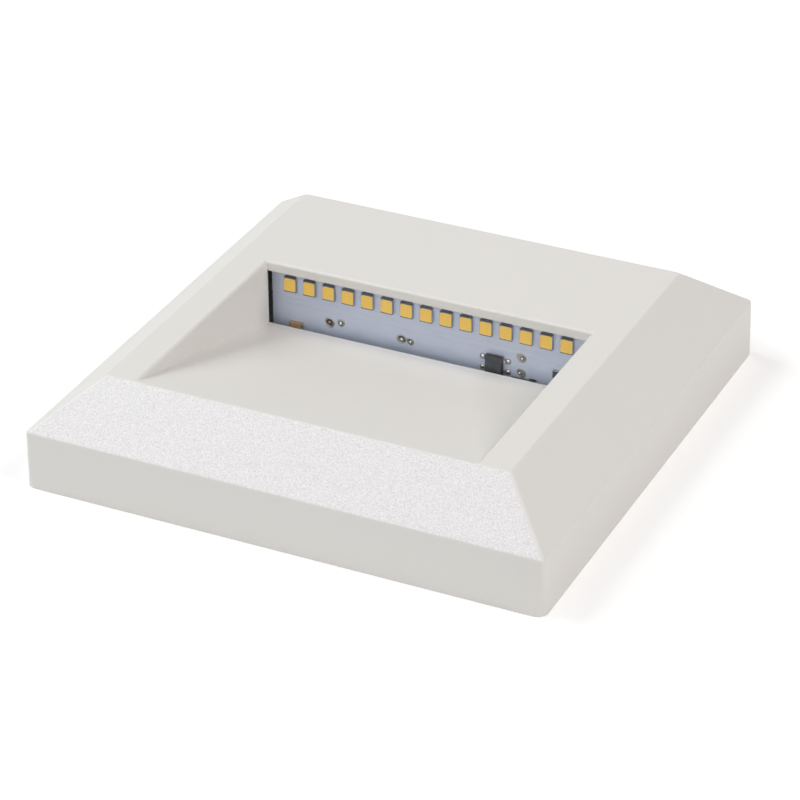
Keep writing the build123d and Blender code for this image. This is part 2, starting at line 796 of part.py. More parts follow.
with BuildPart() as cable_clamp:
    with BuildSketch(Plane.YZ.offset(clamp_x - clamp_width / 2)):
        with Locations((supply_y, clamp_foot + clamp_thickness / 2)):
            Rectangle(2 * clamp_half, clamp_thickness)
        with Locations((supply_y, cable_z)):
            Circle(arch_radius + clamp_thickness)
            Circle(arch_radius, mode=Mode.SUBTRACT)
        with Locations((supply_y, clamp_foot)):
            Rectangle(
                2 * clamp_half,
                2 * clamp_half,
                align=(Align.CENTER, Align.MAX),
                mode=Mode.SUBTRACT,
            )
    extrude(amount=clamp_width)
    with Locations(*[(x, y, clamp_foot) for x, y in clamp_places]):
        Cylinder(
            screw_radius + pass_clearance,
            clamp_thickness,
            align=(Align.CENTER, Align.CENTER, Align.MIN),
            mode=Mode.SUBTRACT,
        )
cable_clamp.part.label = "cable_clamp"
export_step(cable_clamp.part, "parts/cable_clamp.step")

clamp_reach = clamp_thickness + clamp_post_height + cover_thickness - cover_skin
with BuildPart() as clamp_screws:
    for x, y in clamp_places:
        add(
            pan_screw(
                (x, y, clamp_foot + clamp_thickness),
                (0, 0, -1),
                screw_radius,
                screw_head_radius,
                screw_head_height,
                min(clamp_screw_length, clamp_reach - hole_clearance),
            )
        )
clamp_screws.part.label = "clamp_screws"
export_step(clamp_screws.part, "parts/clamp_screws.step")

# Terminal block: one moulding with a tower for each pole.
block_seat = cover_top + block_seat_height
block_bore_z = block_seat + block_bore_height
pole_xs = [block_x + pole_pitch * i for i in (-1, 0, 1)]
terminal_screw_ys = [block_y - terminal_screw_offset, block_y + terminal_screw_offset]
terminal_screw_places = [(x, y) for x in pole_xs for y in terminal_screw_ys]
tower_top = block_seat + block_tower_height

with BuildPart() as terminal_block:
    with BuildSketch(Plane.XY.offset(block_seat)):
        with Locations((block_x, block_y)):
            Rectangle(2 * pole_pitch + block_tower_width, block_length)
    extrude(amount=block_body_height)
    with BuildSketch(Plane.XY.offset(block_seat)):
        with Locations(*[(x, block_y) for x in pole_xs]):
            Rectangle(block_tower_width, block_tower_length)
    extrude(amount=block_tower_height)
    with BuildSketch(Plane.XZ.offset(-block_y)):
        with Locations(*[(x, block_bore_z) for x in pole_xs]):
            Circle(block_entry_radius)
    extrude(amount=block_length / 2, both=True, mode=Mode.SUBTRACT)
    with BuildSketch(Plane.XZ.offset(-block_y)):
        with Locations(*[(x, block_bore_z) for x in pole_xs]):
            Rectangle(insert_size, insert_size)
    extrude(amount=insert_length / 2, both=True, mode=Mode.SUBTRACT)
    with Locations(*[(x, y, block_bore_z) for x, y in terminal_screw_places]):
        Cylinder(
            terminal_screw_radius + pass_clearance,
            tower_top - block_bore_z,
            align=(Align.CENTER, Align.CENTER, Align.MIN),
            mode=Mode.SUBTRACT,
        )
    with Locations(*[(x, y, block_seat) for x, y in block_fixing_places]):
        Cylinder(
            small_screw_radius + pass_clearance,
            block_body_height,
            align=(Align.CENTER, Align.CENTER, Align.MIN),
            mode=Mode.SUBTRACT,
        )
terminal_block.part.label = "terminal_block"
export_step(terminal_block.part, "parts/terminal_block.step")

# Brass inserts in the block, bored along Y and tapped from above.
with BuildPart() as terminal_inserts:
    with BuildSketch(Plane.XZ.offset(-block_y)):
        with Locations(*[(x, block_bore_z) for x in pole_xs]):
            Rectangle(insert_size, insert_size)
            Circle(insert_bore_radius, mode=Mode.SUBTRACT)
    extrude(amount=insert_length / 2, both=True)
    with Locations(*[(x, y, block_bore_z) for x, y in terminal_screw_places]):
        Cylinder(
            terminal_screw_radius + hole_clearance,
            insert_size,
            align=(Align.CENTER, Align.CENTER, Align.MIN),
            mode=Mode.SUBTRACT,
        )
terminal_inserts.part.label = "terminal_inserts"
export_step(terminal_inserts.part, "parts/terminal_inserts.step")

# Terminal screws, turned down onto the conductors.
terminal_screw_bottom = block_bore_z + core_radius + hole_clearance
with BuildPart() as terminal_screws:
    with Locations(*[(x, y, terminal_screw_bottom) for x, y in terminal_screw_places]):
        Cylinder(
            terminal_screw_radius,
            tower_top - terminal_screw_top - terminal_screw_bottom,
            align=(Align.CENTER, Align.CENTER, Align.MIN),
        )
    with Locations(*[(x, y, tower_top - terminal_screw_top) for x, y in terminal_screw_places]):
        Box(
            2 * terminal_screw_radius,
            slot_drive_width / 2,
            2 * slot_drive_depth,
            mode=Mode.SUBTRACT,
        )
terminal_screws.part.label = "terminal_screws"
export_step(terminal_screws.part, "parts/terminal_screws.step")

fixing_reach = block_body_height + block_seat_height + cover_thickness - cover_skin
with BuildPart() as block_screws:
    for x, y in block_fixing_places:
        add(
            pan_screw(
                (x, y, block_seat + block_body_height),
                (0, 0, -1),
                small_screw_radius,
                small_head_radius,
                small_head_height,
                min(fixing_screw_length, fixing_reach - hole_clearance),
            )
        )
block_screws.part.label = "block_screws"
export_step(block_screws.part, "parts/block_screws.step")

# Internal leads. Each runs from its pole to the board or the earth lug as straight runs and arcs.
lead_start_y = block_y - block_length / 2 + lead_insertion
lug_z = earth_boss_bottom - lug_thickness
lug_barrel_z = lug_z + lug_thickness - lug_barrel_radius
lug_barrel_end = earth_y - lug_barrel_start - lug_barrel_length


def bend_radii(points):
    """Give each inner corner the largest arc that its shorter run allows."""
    radii = []
    for before, here, after in zip(points, points[1:], points[2:]):
        run_in = Vector(*here) - Vector(*before)
        run_out = Vector(*after) - Vector(*here)
        half_turn = math.radians(run_in.get_angle(run_out)) / 2
        radii.append(0.45 * min(run_in.length, run_out.length) / math.tan(half_turn))
    return radii


def insulated_lead(points, pole_x):
    """Sweep one lead's insulation along the points and run its bare core into the pole."""
    radii = bend_radii(points)
    print("lead radii", [round(r, 1) for r in radii])
    with BuildPart() as lead:
        with BuildLine():
            path = FilletPolyline(*points, radius=radii)
        with BuildSketch(Plane(origin=path @ 0, z_dir=path % 0)):
            Circle(lead_radius)
        sweep(path=path)
        with BuildSketch(Plane.XZ.offset(-lead_start_y)):
            with Locations((pole_x, block_bore_z)):
                Circle(core_radius)
        extrude(amount=-core_length)
    return lead.part


def board_lead(pole_x, hole_x, hole_z):
    """Make a lead that leaves its pole towards the board and ends flush in a hole of the board."""
    points = [
        (pole_x, lead_start_y, block_bore_z),
        (pole_x, lead_start_y - lead_exit, block_bore_z),
        (hole_x, board_back + lead_entry, hole_z),
        (hole_x, board_back, hole_z),
    ]
    with BuildPart() as lead:
        add(insulated_lead(points, pole_x))
        with BuildSketch(Plane.XZ.offset(-board_front)):
            with Locations((hole_x, hole_z)):
                Circle(core_radius)
        extrude(amount=-board_thickness)
    return lead.part


with BuildPart() as wire_live:
    add(board_lead(pole_xs[1], live_x, live_z))
wire_live.part.label = "wire_live"
export_step(wire_live.part, "parts/wire_live.step")

with BuildPart() as wire_neutral:
    add(board_lead(pole_xs[2], neutral_x, neutral_z))
wire_neutral.part.label = "wire_neutral"
export_step(wire_neutral.part, "parts/wire_neutral.step")

lead_exit_y = lead_start_y - lead_exit
earth_points = [
    (pole_xs[0], lead_start_y, block_bore_z),
    (pole_xs[0], lead_exit_y, block_bore_z),
    (pole_xs[0] - earth_lead_corner, lead_exit_y - 0.9 * earth_lead_corner, block_bore_z - lead_dip),
    (earth_x + earth_lead_corner, lead_exit_y - earth_lead_corner, block_bore_z - lead_dip / 2),
    (earth_x - lead_dip / 3, lead_exit_y + lead_dip, block_bore_z + lead_dip),
    (earth_x, lug_barrel_end - lug_approach, lug_barrel_z),
    (earth_x, lug_barrel_end + lead_insertion, lug_barrel_z),
]
with BuildPart() as wire_earth:
    add(insulated_lead(earth_points, pole_xs[0]))
wire_earth.part.label = "wire_earth"
export_step(wire_earth.part, "parts/wire_earth.step")

# Earth lug: a ring under the earth screw with a crimped barrel for the lead.
with BuildPart() as earth_lug:
    with BuildSketch(Plane.XY.offset(lug_z)):
        with Locations((earth_x, earth_y)):
            Circle(lug_ring_radius)
            Rectangle(
                2 * lug_barrel_radius,
                lug_barrel_start + lug_barrel_length / 2,
                align=(Align.CENTER, Align.MAX),
            )
            Circle(earth_screw_radius + pass_clearance, mode=Mode.SUBTRACT)
    extrude(amount=lug_thickness)
    with BuildSketch(Plane.XZ.offset(-lug_barrel_end)):
        with Locations((earth_x, lug_barrel_z)):
            Circle(lug_barrel_radius)
    extrude(amount=-lug_barrel_length)
    with BuildSketch(Plane.XZ.offset(-lug_barrel_end)):
        with Locations((earth_x, lug_barrel_z)):
            Circle(lead_radius + hole_clearance)
    extrude(amount=-lead_insertion, mode=Mode.SUBTRACT)
earth_lug.part.label = "earth_lug"
export_step(earth_lug.part, "parts/earth_lug.step")

with BuildPart() as earth_screw:
    add(
        pan_screw(
            (earth_x, earth_y, lug_z),
            (0, 0, 1),
            earth_screw_radius,
            earth_head_radius,
            earth_head_height,
            earth_screw_length,
        )
    )
earth_screw.part.label = "earth_screw"
export_step(earth_screw.part, "parts/earth_screw.step")

# Wall plate: flat steel with two wall slots, a cable opening and holes for the clip rivets.
clip_contact_x = body_width / 2 - shell_thickness - wall_slope * clip_contact_height - clip_wall_gap
clip_foot_inner = rim_half_x + clip_root_gap
clip_bend_x = clip_contact_x - clip_bow
rivet_x = (clip_foot_inner + clip_bend_x) / 2
rivet_places = [(sx * rivet_x, sy * clip_spacing / 2) for sx in (-1, 1) for sy in (-1, 1)]
plate_width = body_width - 2 * (shell_thickness + plate_edge_gap)
plate_length = body_length - 2 * (shell_thickness + plate_edge_gap)
wall_slot_pitch = wall_slot_length - wall_slot_width

with BuildPart() as wall_plate:
    with BuildSketch(Plane.XY):
        RectangleRounded(plate_width, plate_length, plate_corner_radius)
        with Locations(*pocket_places):
            SlotCenterToCenter(wall_slot_pitch, wall_slot_width, mode=Mode.SUBTRACT)
        with Locations((grommet_x, supply_y)):
            RectangleRounded(
                cable_opening_width,
                cable_opening_length,
                cable_opening_radius,
                mode=Mode.SUBTRACT,
            )
        with Locations(*rivet_places):
            Circle(rivet_radius, mode=Mode.SUBTRACT)
    extrude(amount=plate_thickness)
wall_plate.part.label = "wall_plate"
export_step(wall_plate.part, "parts/wall_plate.step")


def clip_solid(side, y):
    """Make one leaf: a foot on the plate, then a V that touches the side wall at its knee."""
    half = clip_thickness / 2
    with BuildPart() as clip:
        with BuildSketch(Plane.XZ.offset(-(y + clip_width / 2))):
            with BuildLine():
                Polyline(
                    (side * clip_foot_inner, plate_thickness + half),
                    (side * clip_bend_x, plate_thickness + half),
                    (side * (clip_contact_x - half), clip_contact_height),
                    (side * (clip_contact_x - clip_lead_in), clip_top_height),
                )
            trace(line_width=clip_thickness)
        extrude(amount=clip_width)
        with Locations((side * rivet_x, y, plate_thickness)):
            Cylinder(
                rivet_radius,
                clip_thickness,
                align=(Align.CENTER, Align.CENTER, Align.MIN),
                mode=Mode.SUBTRACT,
            )
    return clip.part


with BuildPart() as snap_clips:
    for side in (-1, 1):
        for end in (-1, 1):
            add(clip_solid(side, end * clip_spacing / 2))
snap_clips.part.label = "snap_clips"
export_step(snap_clips.part, "parts/snap_clips.step")

# Rivets through the clip feet, flush with the plate's wall side.
with BuildPart() as clip_rivets:
    with BuildSketch(Plane.XY):
        with Locations(*rivet_places):
            Circle(rivet_radius)
    extrude(amount=plate_thickness + clip_thickness)
    with BuildSketch(Plane.XY.offset(plate_thickness + clip_thickness)):
        with Locations(*rivet_places):
            Circle(rivet_head_radius)
    extrude(amount=rivet_head_height)
    fillet(clip_rivets.edges().group_by(Axis.Z)[-1], rivet_head_height / 2)
clip_rivets.part.label = "clip_rivets"
export_step(clip_rivets.part, "parts/clip_rivets.step")
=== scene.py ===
import math

import bmesh
import bpy
from bpy.props import FloatProperty, FloatVectorProperty, PointerProperty
from mathutils import Euler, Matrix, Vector


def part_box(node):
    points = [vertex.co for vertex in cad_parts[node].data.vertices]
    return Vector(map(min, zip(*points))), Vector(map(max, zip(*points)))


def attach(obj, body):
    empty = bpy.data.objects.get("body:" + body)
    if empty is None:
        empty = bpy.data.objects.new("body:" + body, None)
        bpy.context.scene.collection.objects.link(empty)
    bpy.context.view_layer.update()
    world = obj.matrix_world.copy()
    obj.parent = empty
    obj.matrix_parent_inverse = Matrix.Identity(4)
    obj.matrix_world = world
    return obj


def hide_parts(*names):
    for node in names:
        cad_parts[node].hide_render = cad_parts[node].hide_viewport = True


bl_info = {
    "name": "Square Wall Light",
    "version": (1, 0, 0),
    "blender": (4, 5, 0),
    "location": "3D View > Sidebar > Wall Light",
    "description": "Dress a square surface wall light with its finishes and its lamp board's small parts",
    "category": "Add Mesh",
}

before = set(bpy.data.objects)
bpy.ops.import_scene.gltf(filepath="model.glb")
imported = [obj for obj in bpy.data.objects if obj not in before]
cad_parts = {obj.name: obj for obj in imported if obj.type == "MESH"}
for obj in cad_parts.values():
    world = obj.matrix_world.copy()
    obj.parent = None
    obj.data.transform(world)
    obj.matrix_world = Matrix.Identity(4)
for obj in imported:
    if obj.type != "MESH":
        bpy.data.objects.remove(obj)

MM = 0.001
WELD = 0.001 * MM
SHARP_EDGE = math.radians(40)
HEAD = "light_head"
# How far the front slope's upper edge lies from the middle of the housing, less half a millimetre.
SLOPE_START = 43.0 * MM
FINISHES = {}


def linear(colour):
    """Turn an sRGB hex colour into linear red, green and blue."""
    parts = [int(colour[i : i + 2], 16) / 255 for i in (1, 3, 5)]
    return tuple(p / 12.92 if p <= 0.04045 else ((p + 0.055) / 1.055) ** 2.4 for p in parts)


class WallLightSizes(bpy.types.PropertyGroup):
    """Sizes of the finishes and of the small parts' details"""

    coat_grain: FloatProperty(
        name="Coat grain",
        description="Distance between the bumps of the powder coat",
        default=0.42 * MM,
        unit="LENGTH",
    )
    coat_relief: FloatProperty(
        name="Coat relief",
        description="Height of the powder coat's bumps",
        default=0.03 * MM,
        unit="LENGTH",
    )
    # Width of the points of the painted glints on the front slope.
    painted_glint_width: FloatProperty(
        name="Coat glint",
        description="Width of the powder coat's bright points",
        default=0.3 * MM,
        unit="LENGTH",
    )
    spangle: FloatProperty(
        name="Zinc spangle",
        description="Width of the zinc crystals on the wall plate",
        default=4.0 * MM,
        unit="LENGTH",
    )
    cup_rim: FloatProperty(
        name="Lamp rim",
        description="Width of the lamp package's rim at the sides of the phosphor",
        default=0.1 * MM,
        unit="LENGTH",
    )
    cup_end: FloatProperty(
        name="Lamp end",
        description="Width of the lamp package's rim at the top and the bottom of the phosphor",
        default=0.25 * MM,
        unit="LENGTH",
    )
    cup_depth: FloatProperty(
        name="Phosphor sink",
        description="How far the phosphor's middle lies below its rim",
        default=0.05 * MM,
        unit="LENGTH",
    )
    track_width: FloatProperty(
        name="Track width",
        description="Width of the copper tracks under the board's solder mask",
        default=0.9 * MM,
        unit="LENGTH",
    )
    track_relief: FloatProperty(
        name="Track relief",
        description="Height of the tracks under the solder mask",
        default=0.015 * MM,
        unit="LENGTH",
    )


class WallLightColours(bpy.types.PropertyGroup):
    """Colours of the finishes, in linear light"""

    coat: FloatVectorProperty(
        name="Powder coat",
        description="Colour of the front housing's powder coat",
        subtype="COLOR",
        default=linear("#E7E5E1"),
    )
    # Colour of the painted glints on the front slope.
    glint: FloatVectorProperty(
        name="Coat glint",
        description="Colour of the powder coat's bright points",
        subtype="COLOR",
        default=linear("#F5F4F6"),
    )
    mask: FloatVectorProperty(
        name="Solder mask",
        description="Colour of the lamp board",
        subtype="COLOR",
        default=linear("#E3ECFE"),
    )
    phosphor: FloatVectorProperty(
        name="Phosphor",
        description="Colour of the lamps' phosphor",
        subtype="COLOR",
        default=linear("#FFD266"),
    )
    cover: FloatVectorProperty(
        name="Back cover",
        description="Colour of the moulded back cover",
        subtype="COLOR",
        default=linear("#D9D9D6"),
    )


def put(tree, kind, inputs=None, **settings):
    """Add a node with its settings, and set or link its inputs."""
    made = tree.nodes.new(kind)
    for name, value in settings.items():
        setattr(made, name, value)
    for socket, value in (inputs or {}).items():
        if isinstance(value, bpy.types.NodeSocket):
            tree.links.new(value, made.inputs[socket])
        else:
            made.inputs[socket].default_value = value
    return made


def start_finish(name, colour, roughness, metallic=0.0, ior=1.5):
    """Start a finish with its shader's constant values, and give its tree, shader and coordinates."""
    material = FINISHES[name] = bpy.data.materials.new(name.replace("_", " "))
    material.use_nodes = True
    tree = material.node_tree
    shader = tree.nodes["Principled BSDF"]
    shader.inputs["Base Color"].default_value = (*colour, 1.0)
    shader.inputs["Roughness"].default_value = roughness
    shader.inputs["Metallic"].default_value = metallic
    shader.inputs["IOR"].default_value = ior
    place = put(tree, "ShaderNodeTexCoord").outputs["Object"]
    return tree, shader, place


def shades(tree, source, dark, light):
    """Run a pattern's value from a dark to a light colour."""
    ramp = put(tree, "ShaderNodeValToRGB", {"Fac": source})
    for stop, colour in zip(ramp.color_ramp.elements, (dark, light)):
        stop.color = (*colour, 1.0)
    return ramp.outputs["Color"]


def tint(colour, factor):
    """Make a colour darker or lighter by a factor."""
    return tuple(min(1.0, part * factor) for part in colour)


def spread(tree, source, low, high):
    """Run a pattern's value from low to high."""
    return put(
        tree,
        "ShaderNodeMapRange",
        {"Value": source, "From Min": 0.3, "From Max": 0.7, "To Min": low, "To Max": high},
    ).outputs["Result"]


def relief(tree, shader, source, distance):
    """Raise the surface where a pattern is light."""
    bump = put(tree, "ShaderNodeBump", {"Height": source, "Distance": distance, "Strength": 1.0})
    tree.links.new(bump.outputs["Normal"], shader.inputs["Normal"])


def stretched(tree, place, size):
    """Scale coordinates so that one step is as long as size gives along X, Y and Z."""
    scale = [1.0 / length for length in size]
    return put(tree, "ShaderNodeMapping", {"Vector": place, "Scale": scale}).outputs["Vector"]


def powder_coat_white(sizes, colours):
    """Polyester powder, sprayed and baked on die-cast aluminium."""
    # A white skin of fine bumps, matt from afar. On the front slope, which faces the lamps, painted glints
    # show as pale cool points over a darker grey; a real glint is finer than the picture can show.
    tree, shader, place = start_finish("powder_coat_white", colours.coat, 0.46)
    grain = put(
        tree,
        "ShaderNodeTexNoise",
        {"Vector": place, "Scale": 1 / sizes.coat_grain, "Detail": 3.0, "Roughness": 0.6},
    ).outputs["Fac"]
    cloud = put(
        tree, "ShaderNodeTexNoise", {"Vector": place, "Scale": 1 / (28 * MM), "Detail": 2.0}
    ).outputs["Fac"]
    skin = shades(tree, cloud, tint(colours.coat, 0.985), colours.coat)
    points = put(
        tree, "ShaderNodeTexNoise", {"Vector": place, "Scale": 1 / sizes.painted_glint_width, "Detail": 1.0}
    ).outputs["Fac"]
    # Painted glints: pale cool points over a darker grey, painted into the front slope's colour.
    painted_glints = shades(tree, spread(tree, points, 0.0, 1.0), linear("#DAD8D8"), colours.glint)
    both = put(
        tree, "ShaderNodeMixRGB", {"Fac": painted_glint_slope(tree, place), "Color1": skin, "Color2": painted_glints}
    ).outputs["Color"]
    tree.links.new(both, shader.inputs["Base Color"])
    tree.links.new(spread(tree, grain, 0.4, 0.52), shader.inputs["Roughness"])
    relief(tree, shader, grain, sizes.coat_relief)


def painted_glint_slope(tree, place):
    """Give 1 on the front slope of the housing, where the glints are painted, and 0 elsewhere."""
    # A normal's Y times its Z is 0 on the flat face, about 0 on the walls and -0.5 on this slope.
    normal = put(tree, "ShaderNodeTexCoord").outputs["Normal"]
    facing = put(tree, "ShaderNodeSeparateXYZ", {"Vector": normal}).outputs
    product = put(
        tree, "ShaderNodeMath", {0: facing["Y"], 1: facing["Z"]}, operation="MULTIPLY"
    ).outputs["Value"]
    lean = put(
        tree, "ShaderNodeMapRange", {"Value": product, "From Min": -0.35, "From Max": -0.45}
    ).outputs["Result"]
    depth = put(tree, "ShaderNodeSeparateXYZ", {"Vector": place}).outputs["Y"]
    front = put(tree, "ShaderNodeMath", {0: depth, 1: -SLOPE_START}, operation="LESS_THAN").outputs["Value"]
    return put(tree, "ShaderNodeMath", {0: lean, 1: front}, operation="MULTIPLY").outputs["Value"]


def clear_polycarbonate():
    """Extruded polycarbonate sheet with polished faces."""
    # It lets light straight through and mirrors very little of it, more at a low angle. Its mirror is set
    # below the sheet's own index, because two faces and what lies between them would cloud the lamps.
    tree, shader, place = start_finish("clear_polycarbonate", linear("#F4F6F8"), 0.06, metallic=1.0)
    wave = put(tree, "ShaderNodeTexNoise", {"Vector": place, "Scale": 1 / (18 * MM)}).outputs["Fac"]
    relief(tree, shader, wave, 0.01 * MM)
    clear = put(tree, "ShaderNodeBsdfTransparent", {"Color": (*linear("#FEFEFF"), 1.0)}).outputs["BSDF"]
    mirror = put(tree, "ShaderNodeFresnel", {"IOR": 1.28}).outputs["Fac"]
    both = put(
        tree, "ShaderNodeMixShader", {0: mirror, 1: clear, 2: shader.outputs["BSDF"]}
    ).outputs["Shader"]
    tree.links.new(both, tree.nodes["Material Output"].inputs["Surface"])


def rubber(name, colour, roughness):
    """Silicone or moulded rubber, cured against a fine-sparked mould."""
    # Dull and soft, with a faint bloom that lightens it in patches.
    tree, shader, place = start_finish(name, colour, roughness, ior=1.42)
    bloom = put(
        tree, "ShaderNodeTexNoise", {"Vector": place, "Scale": 1 / (6 * MM), "Detail": 3.0}
    ).outputs["Fac"]
    grain = put(tree, "ShaderNodeTexNoise", {"Vector": place, "Scale": 1 / (0.3 * MM)}).outputs["Fac"]
    tree.links.new(shades(tree, bloom, tint(colour, 0.9), tint(colour, 1.1)), shader.inputs["Base Color"])
    relief(tree, shader, grain, 0.01 * MM)


def moulded_plastic(name, colour, roughness=0.42):
    """Moulded ABS with a fine-sparked face."""
    # Satin with a tight even grain, and barely cloudy where the melt flowed.
    tree, shader, place = start_finish(name, colour, roughness, ior=1.53)
    grain = put(
        tree, "ShaderNodeTexNoise", {"Vector": place, "Scale": 1 / (0.25 * MM), "Detail": 2.0}
    ).outputs["Fac"]
    flow = put(
        tree,
        "ShaderNodeTexNoise",
        {"Vector": stretched(tree, place, (40 * MM, 12 * MM, 12 * MM)), "Scale": 1.0, "Detail": 2.0},
    ).outputs["Fac"]
    tree.links.new(shades(tree, flow, tint(colour, 0.95), tint(colour, 1.02)), shader.inputs["Base Color"])
    tree.links.new(spread(tree, grain, roughness - 0.06, roughness + 0.08), shader.inputs["Roughness"])
    relief(tree, shader, grain, 0.008 * MM)


def galvanised_steel(sizes):
    """Hot-dip galvanised steel sheet, cut and left bare."""
    # Flat zinc crystals a few millimetres wide, each of its own grey and gloss.
    grey = linear("#A9ABAC")
    tree, shader, place = start_finish("galvanised_steel", grey, 0.42, metallic=1.0)
    crystals = put(
        tree, "ShaderNodeTexVoronoi", {"Vector": place, "Scale": 1 / sizes.spangle}
    ).outputs["Color"]
    frost = put(
        tree, "ShaderNodeTexNoise", {"Vector": place, "Scale": 1 / (0.6 * MM), "Detail": 4.0}
    ).outputs["Fac"]
    level = put(tree, "ShaderNodeSeparateColor", {"Color": crystals}).outputs["Red"]
    tree.links.new(shades(tree, level, tint(grey, 0.82), tint(grey, 1.12)), shader.inputs["Base Color"])
    gloss = put(tree, "ShaderNodeMath", {0: level, 1: frost}, operation="MULTIPLY").outputs["Value"]
    tree.links.new(spread(tree, gloss, 0.34, 0.5), shader.inputs["Roughness"])
    relief(tree, shader, frost, 0.006 * MM)


def drawn_metal(name, colour, roughness, streak):
    """Rolled, drawn or turned metal, with its working lines."""
    # Bright along the lines and broken across them.
    tree, shader, place = start_finish(name, colour, roughness, metallic=1.0)
    lines = put(
        tree,
        "ShaderNodeTexNoise",
        {"Vector": stretched(tree, place, streak), "Scale": 1.0, "Detail": 3.0},
    ).outputs["Fac"]
    tree.links.new(shades(tree, lines, tint(colour, 0.86), tint(colour, 1.06)), shader.inputs["Base Color"])
    tree.links.new(spread(tree, lines, roughness - 0.08, roughness + 0.1), shader.inputs["Roughness"])
    relief(tree, shader, lines, 0.004 * MM)


def solder_mask(colours):
    """Pale solder mask, screened on glass-fibre board and cured."""
    # Satin and cool, with the glass weave just showing through.
    tree, shader, place = start_finish("solder_mask_blue_grey", colours.mask, 0.4, ior=1.55)
    weave = put(
        tree,
        "ShaderNodeTexChecker",
        {"Vector": place, "Scale": 1 / (0.45 * MM), "Color1": (1, 1, 1, 1), "Color2": (0, 0, 0, 1)},
    ).outputs["Fac"]
    cloud = put(
        tree, "ShaderNodeTexNoise", {"Vector": place, "Scale": 1 / (5 * MM), "Detail": 3.0}
    ).outputs["Fac"]
    colour = shades(tree, cloud, tint(colours.mask, 0.94), tint(colours.mask, 1.02))
    tree.links.new(colour, shader.inputs["Base Color"])
    relief(tree, shader, weave, 0.002 * MM)


def lamp_package_grey():
    """Pressed and fired ceramic of the lamp packages."""
    # Matt blue-grey and a little cloudy.
    grey = linear("#B4B9C4")
    tree, shader, place = start_finish("lamp_package_grey", grey, 0.5, ior=1.6)
    cloud = put(
        tree, "ShaderNodeTexNoise", {"Vector": place, "Scale": 1 / (1.5 * MM), "Detail": 2.0}
    ).outputs["Fac"]
    tree.links.new(shades(tree, cloud, tint(grey, 0.85), tint(grey, 1.1)), shader.inputs["Base Color"])
    relief(tree, shader, cloud, 0.004 * MM)


def phosphor_yellow(colours):
    """Phosphor powder in clear silicone, dispensed and cured."""
    # Deep warm yellow with grains of orange and a wet skin. A steady painted glow stands in for the blue
    # light that it turns to yellow, so it shows brighter than the white board beside it, even in the dark.
    tree, shader, place = start_finish("phosphor_yellow", colours.phosphor, 0.3, ior=1.42)
    shader.inputs["Emission Color"].default_value = (*linear("#FFC83C"), 1.0)
    shader.inputs["Emission Strength"].default_value = 0.22
    powder = put(
        tree, "ShaderNodeTexNoise", {"Vector": place, "Scale": 1 / (0.35 * MM), "Detail": 4.0}
    ).outputs["Fac"]
    colour = shades(tree, powder, tint(colours.phosphor, 0.88), tint(colours.phosphor, 1.06))
    tree.links.new(colour, shader.inputs["Base Color"])
    relief(tree, shader, powder, 0.01 * MM)


def solder():
    """Tin solder, melted and set, and the tinned leads beside it."""
    # Bright and wet-looking with a faint frost.
    tree, shader, place = start_finish("solder", linear("#D2D1CE"), 0.22, metallic=1.0)
    frost = put(
        tree, "ShaderNodeTexNoise", {"Vector": place, "Scale": 1 / (0.35 * MM), "Detail": 4.0}
    ).outputs["Fac"]
    tree.links.new(shades(tree, frost, linear("#B9B6B0"), linear("#E2E1DE")), shader.inputs["Base Color"])
    tree.links.new(spread(tree, frost, 0.14, 0.34), shader.inputs["Roughness"])
    relief(tree, shader, frost, 0.01 * MM)


def dulled_metal(name, colour, roughness):
    """Tin or copper dulled by the soldering oven, flux and air; the lamps' tin is partly painted shade."""
    # A metal that mirrors only in broad dim patches, mottled where the film on it is thicker.
    tree, shader, place = start_finish(name, colour, roughness, metallic=1.0)
    film = put(
        tree, "ShaderNodeTexNoise", {"Vector": place, "Scale": 1 / (0.5 * MM), "Detail": 3.0}
    ).outputs["Fac"]
    tree.links.new(shades(tree, film, tint(colour, 0.75), tint(colour, 1.2)), shader.inputs["Base Color"])
    tree.links.new(spread(tree, film, roughness - 0.08, roughness + 0.12), shader.inputs["Roughness"])
    relief(tree, shader, film, 0.01 * MM)


def moulding_compound(name, colour):
    """Epoxy moulding compound, cured round a chip."""
    # Charcoal with a fine sparkle of silica and no gloss.
    tree, shader, place = start_finish(name, colour, 0.55, ior=1.55)
    silica = put(
        tree, "ShaderNodeTexNoise", {"Vector": place, "Scale": 1 / (0.2 * MM), "Detail": 3.0}
    ).outputs["Fac"]
    tree.links.new(shades(tree, silica, tint(colour, 0.8), tint(colour, 1.5)), shader.inputs["Base Color"])
    tree.links.new(spread(tree, silica, 0.45, 0.65), shader.inputs["Roughness"])
    relief(tree, shader, silica, 0.008 * MM)


def chip_ceramic_tan():
    """Fired ceramic of the chip capacitor."""
    # Even brown with a dry face.
    brown = linear("#E0B07C")
    tree, shader, place = start_finish("chip_ceramic_tan", brown, 0.5, ior=1.6)
    grain = put(
        tree, "ShaderNodeTexNoise", {"Vector": place, "Scale": 1 / (0.3 * MM), "Detail": 3.0}
    ).outputs["Fac"]
    tree.links.new(shades(tree, grain, tint(brown, 0.8), tint(brown, 1.15)), shader.inputs["Base Color"])
    relief(tree, shader, grain, 0.005 * MM)


def varistor_blue():
    """Epoxy powder that the varistor is dipped in."""
    # Glossy blue, thicker and darker in patches.
    blue = linear("#1F4F96")
    tree, shader, place = start_finish("varistor_blue", blue, 0.28, ior=1.55)
    coat = put(
        tree, "ShaderNodeTexNoise", {"Vector": place, "Scale": 1 / (1.4 * MM), "Detail": 2.0}
    ).outputs["Fac"]
    tree.links.new(shades(tree, coat, tint(blue, 0.75), tint(blue, 1.15)), shader.inputs["Base Color"])
    relief(tree, shader, coat, 0.04 * MM)


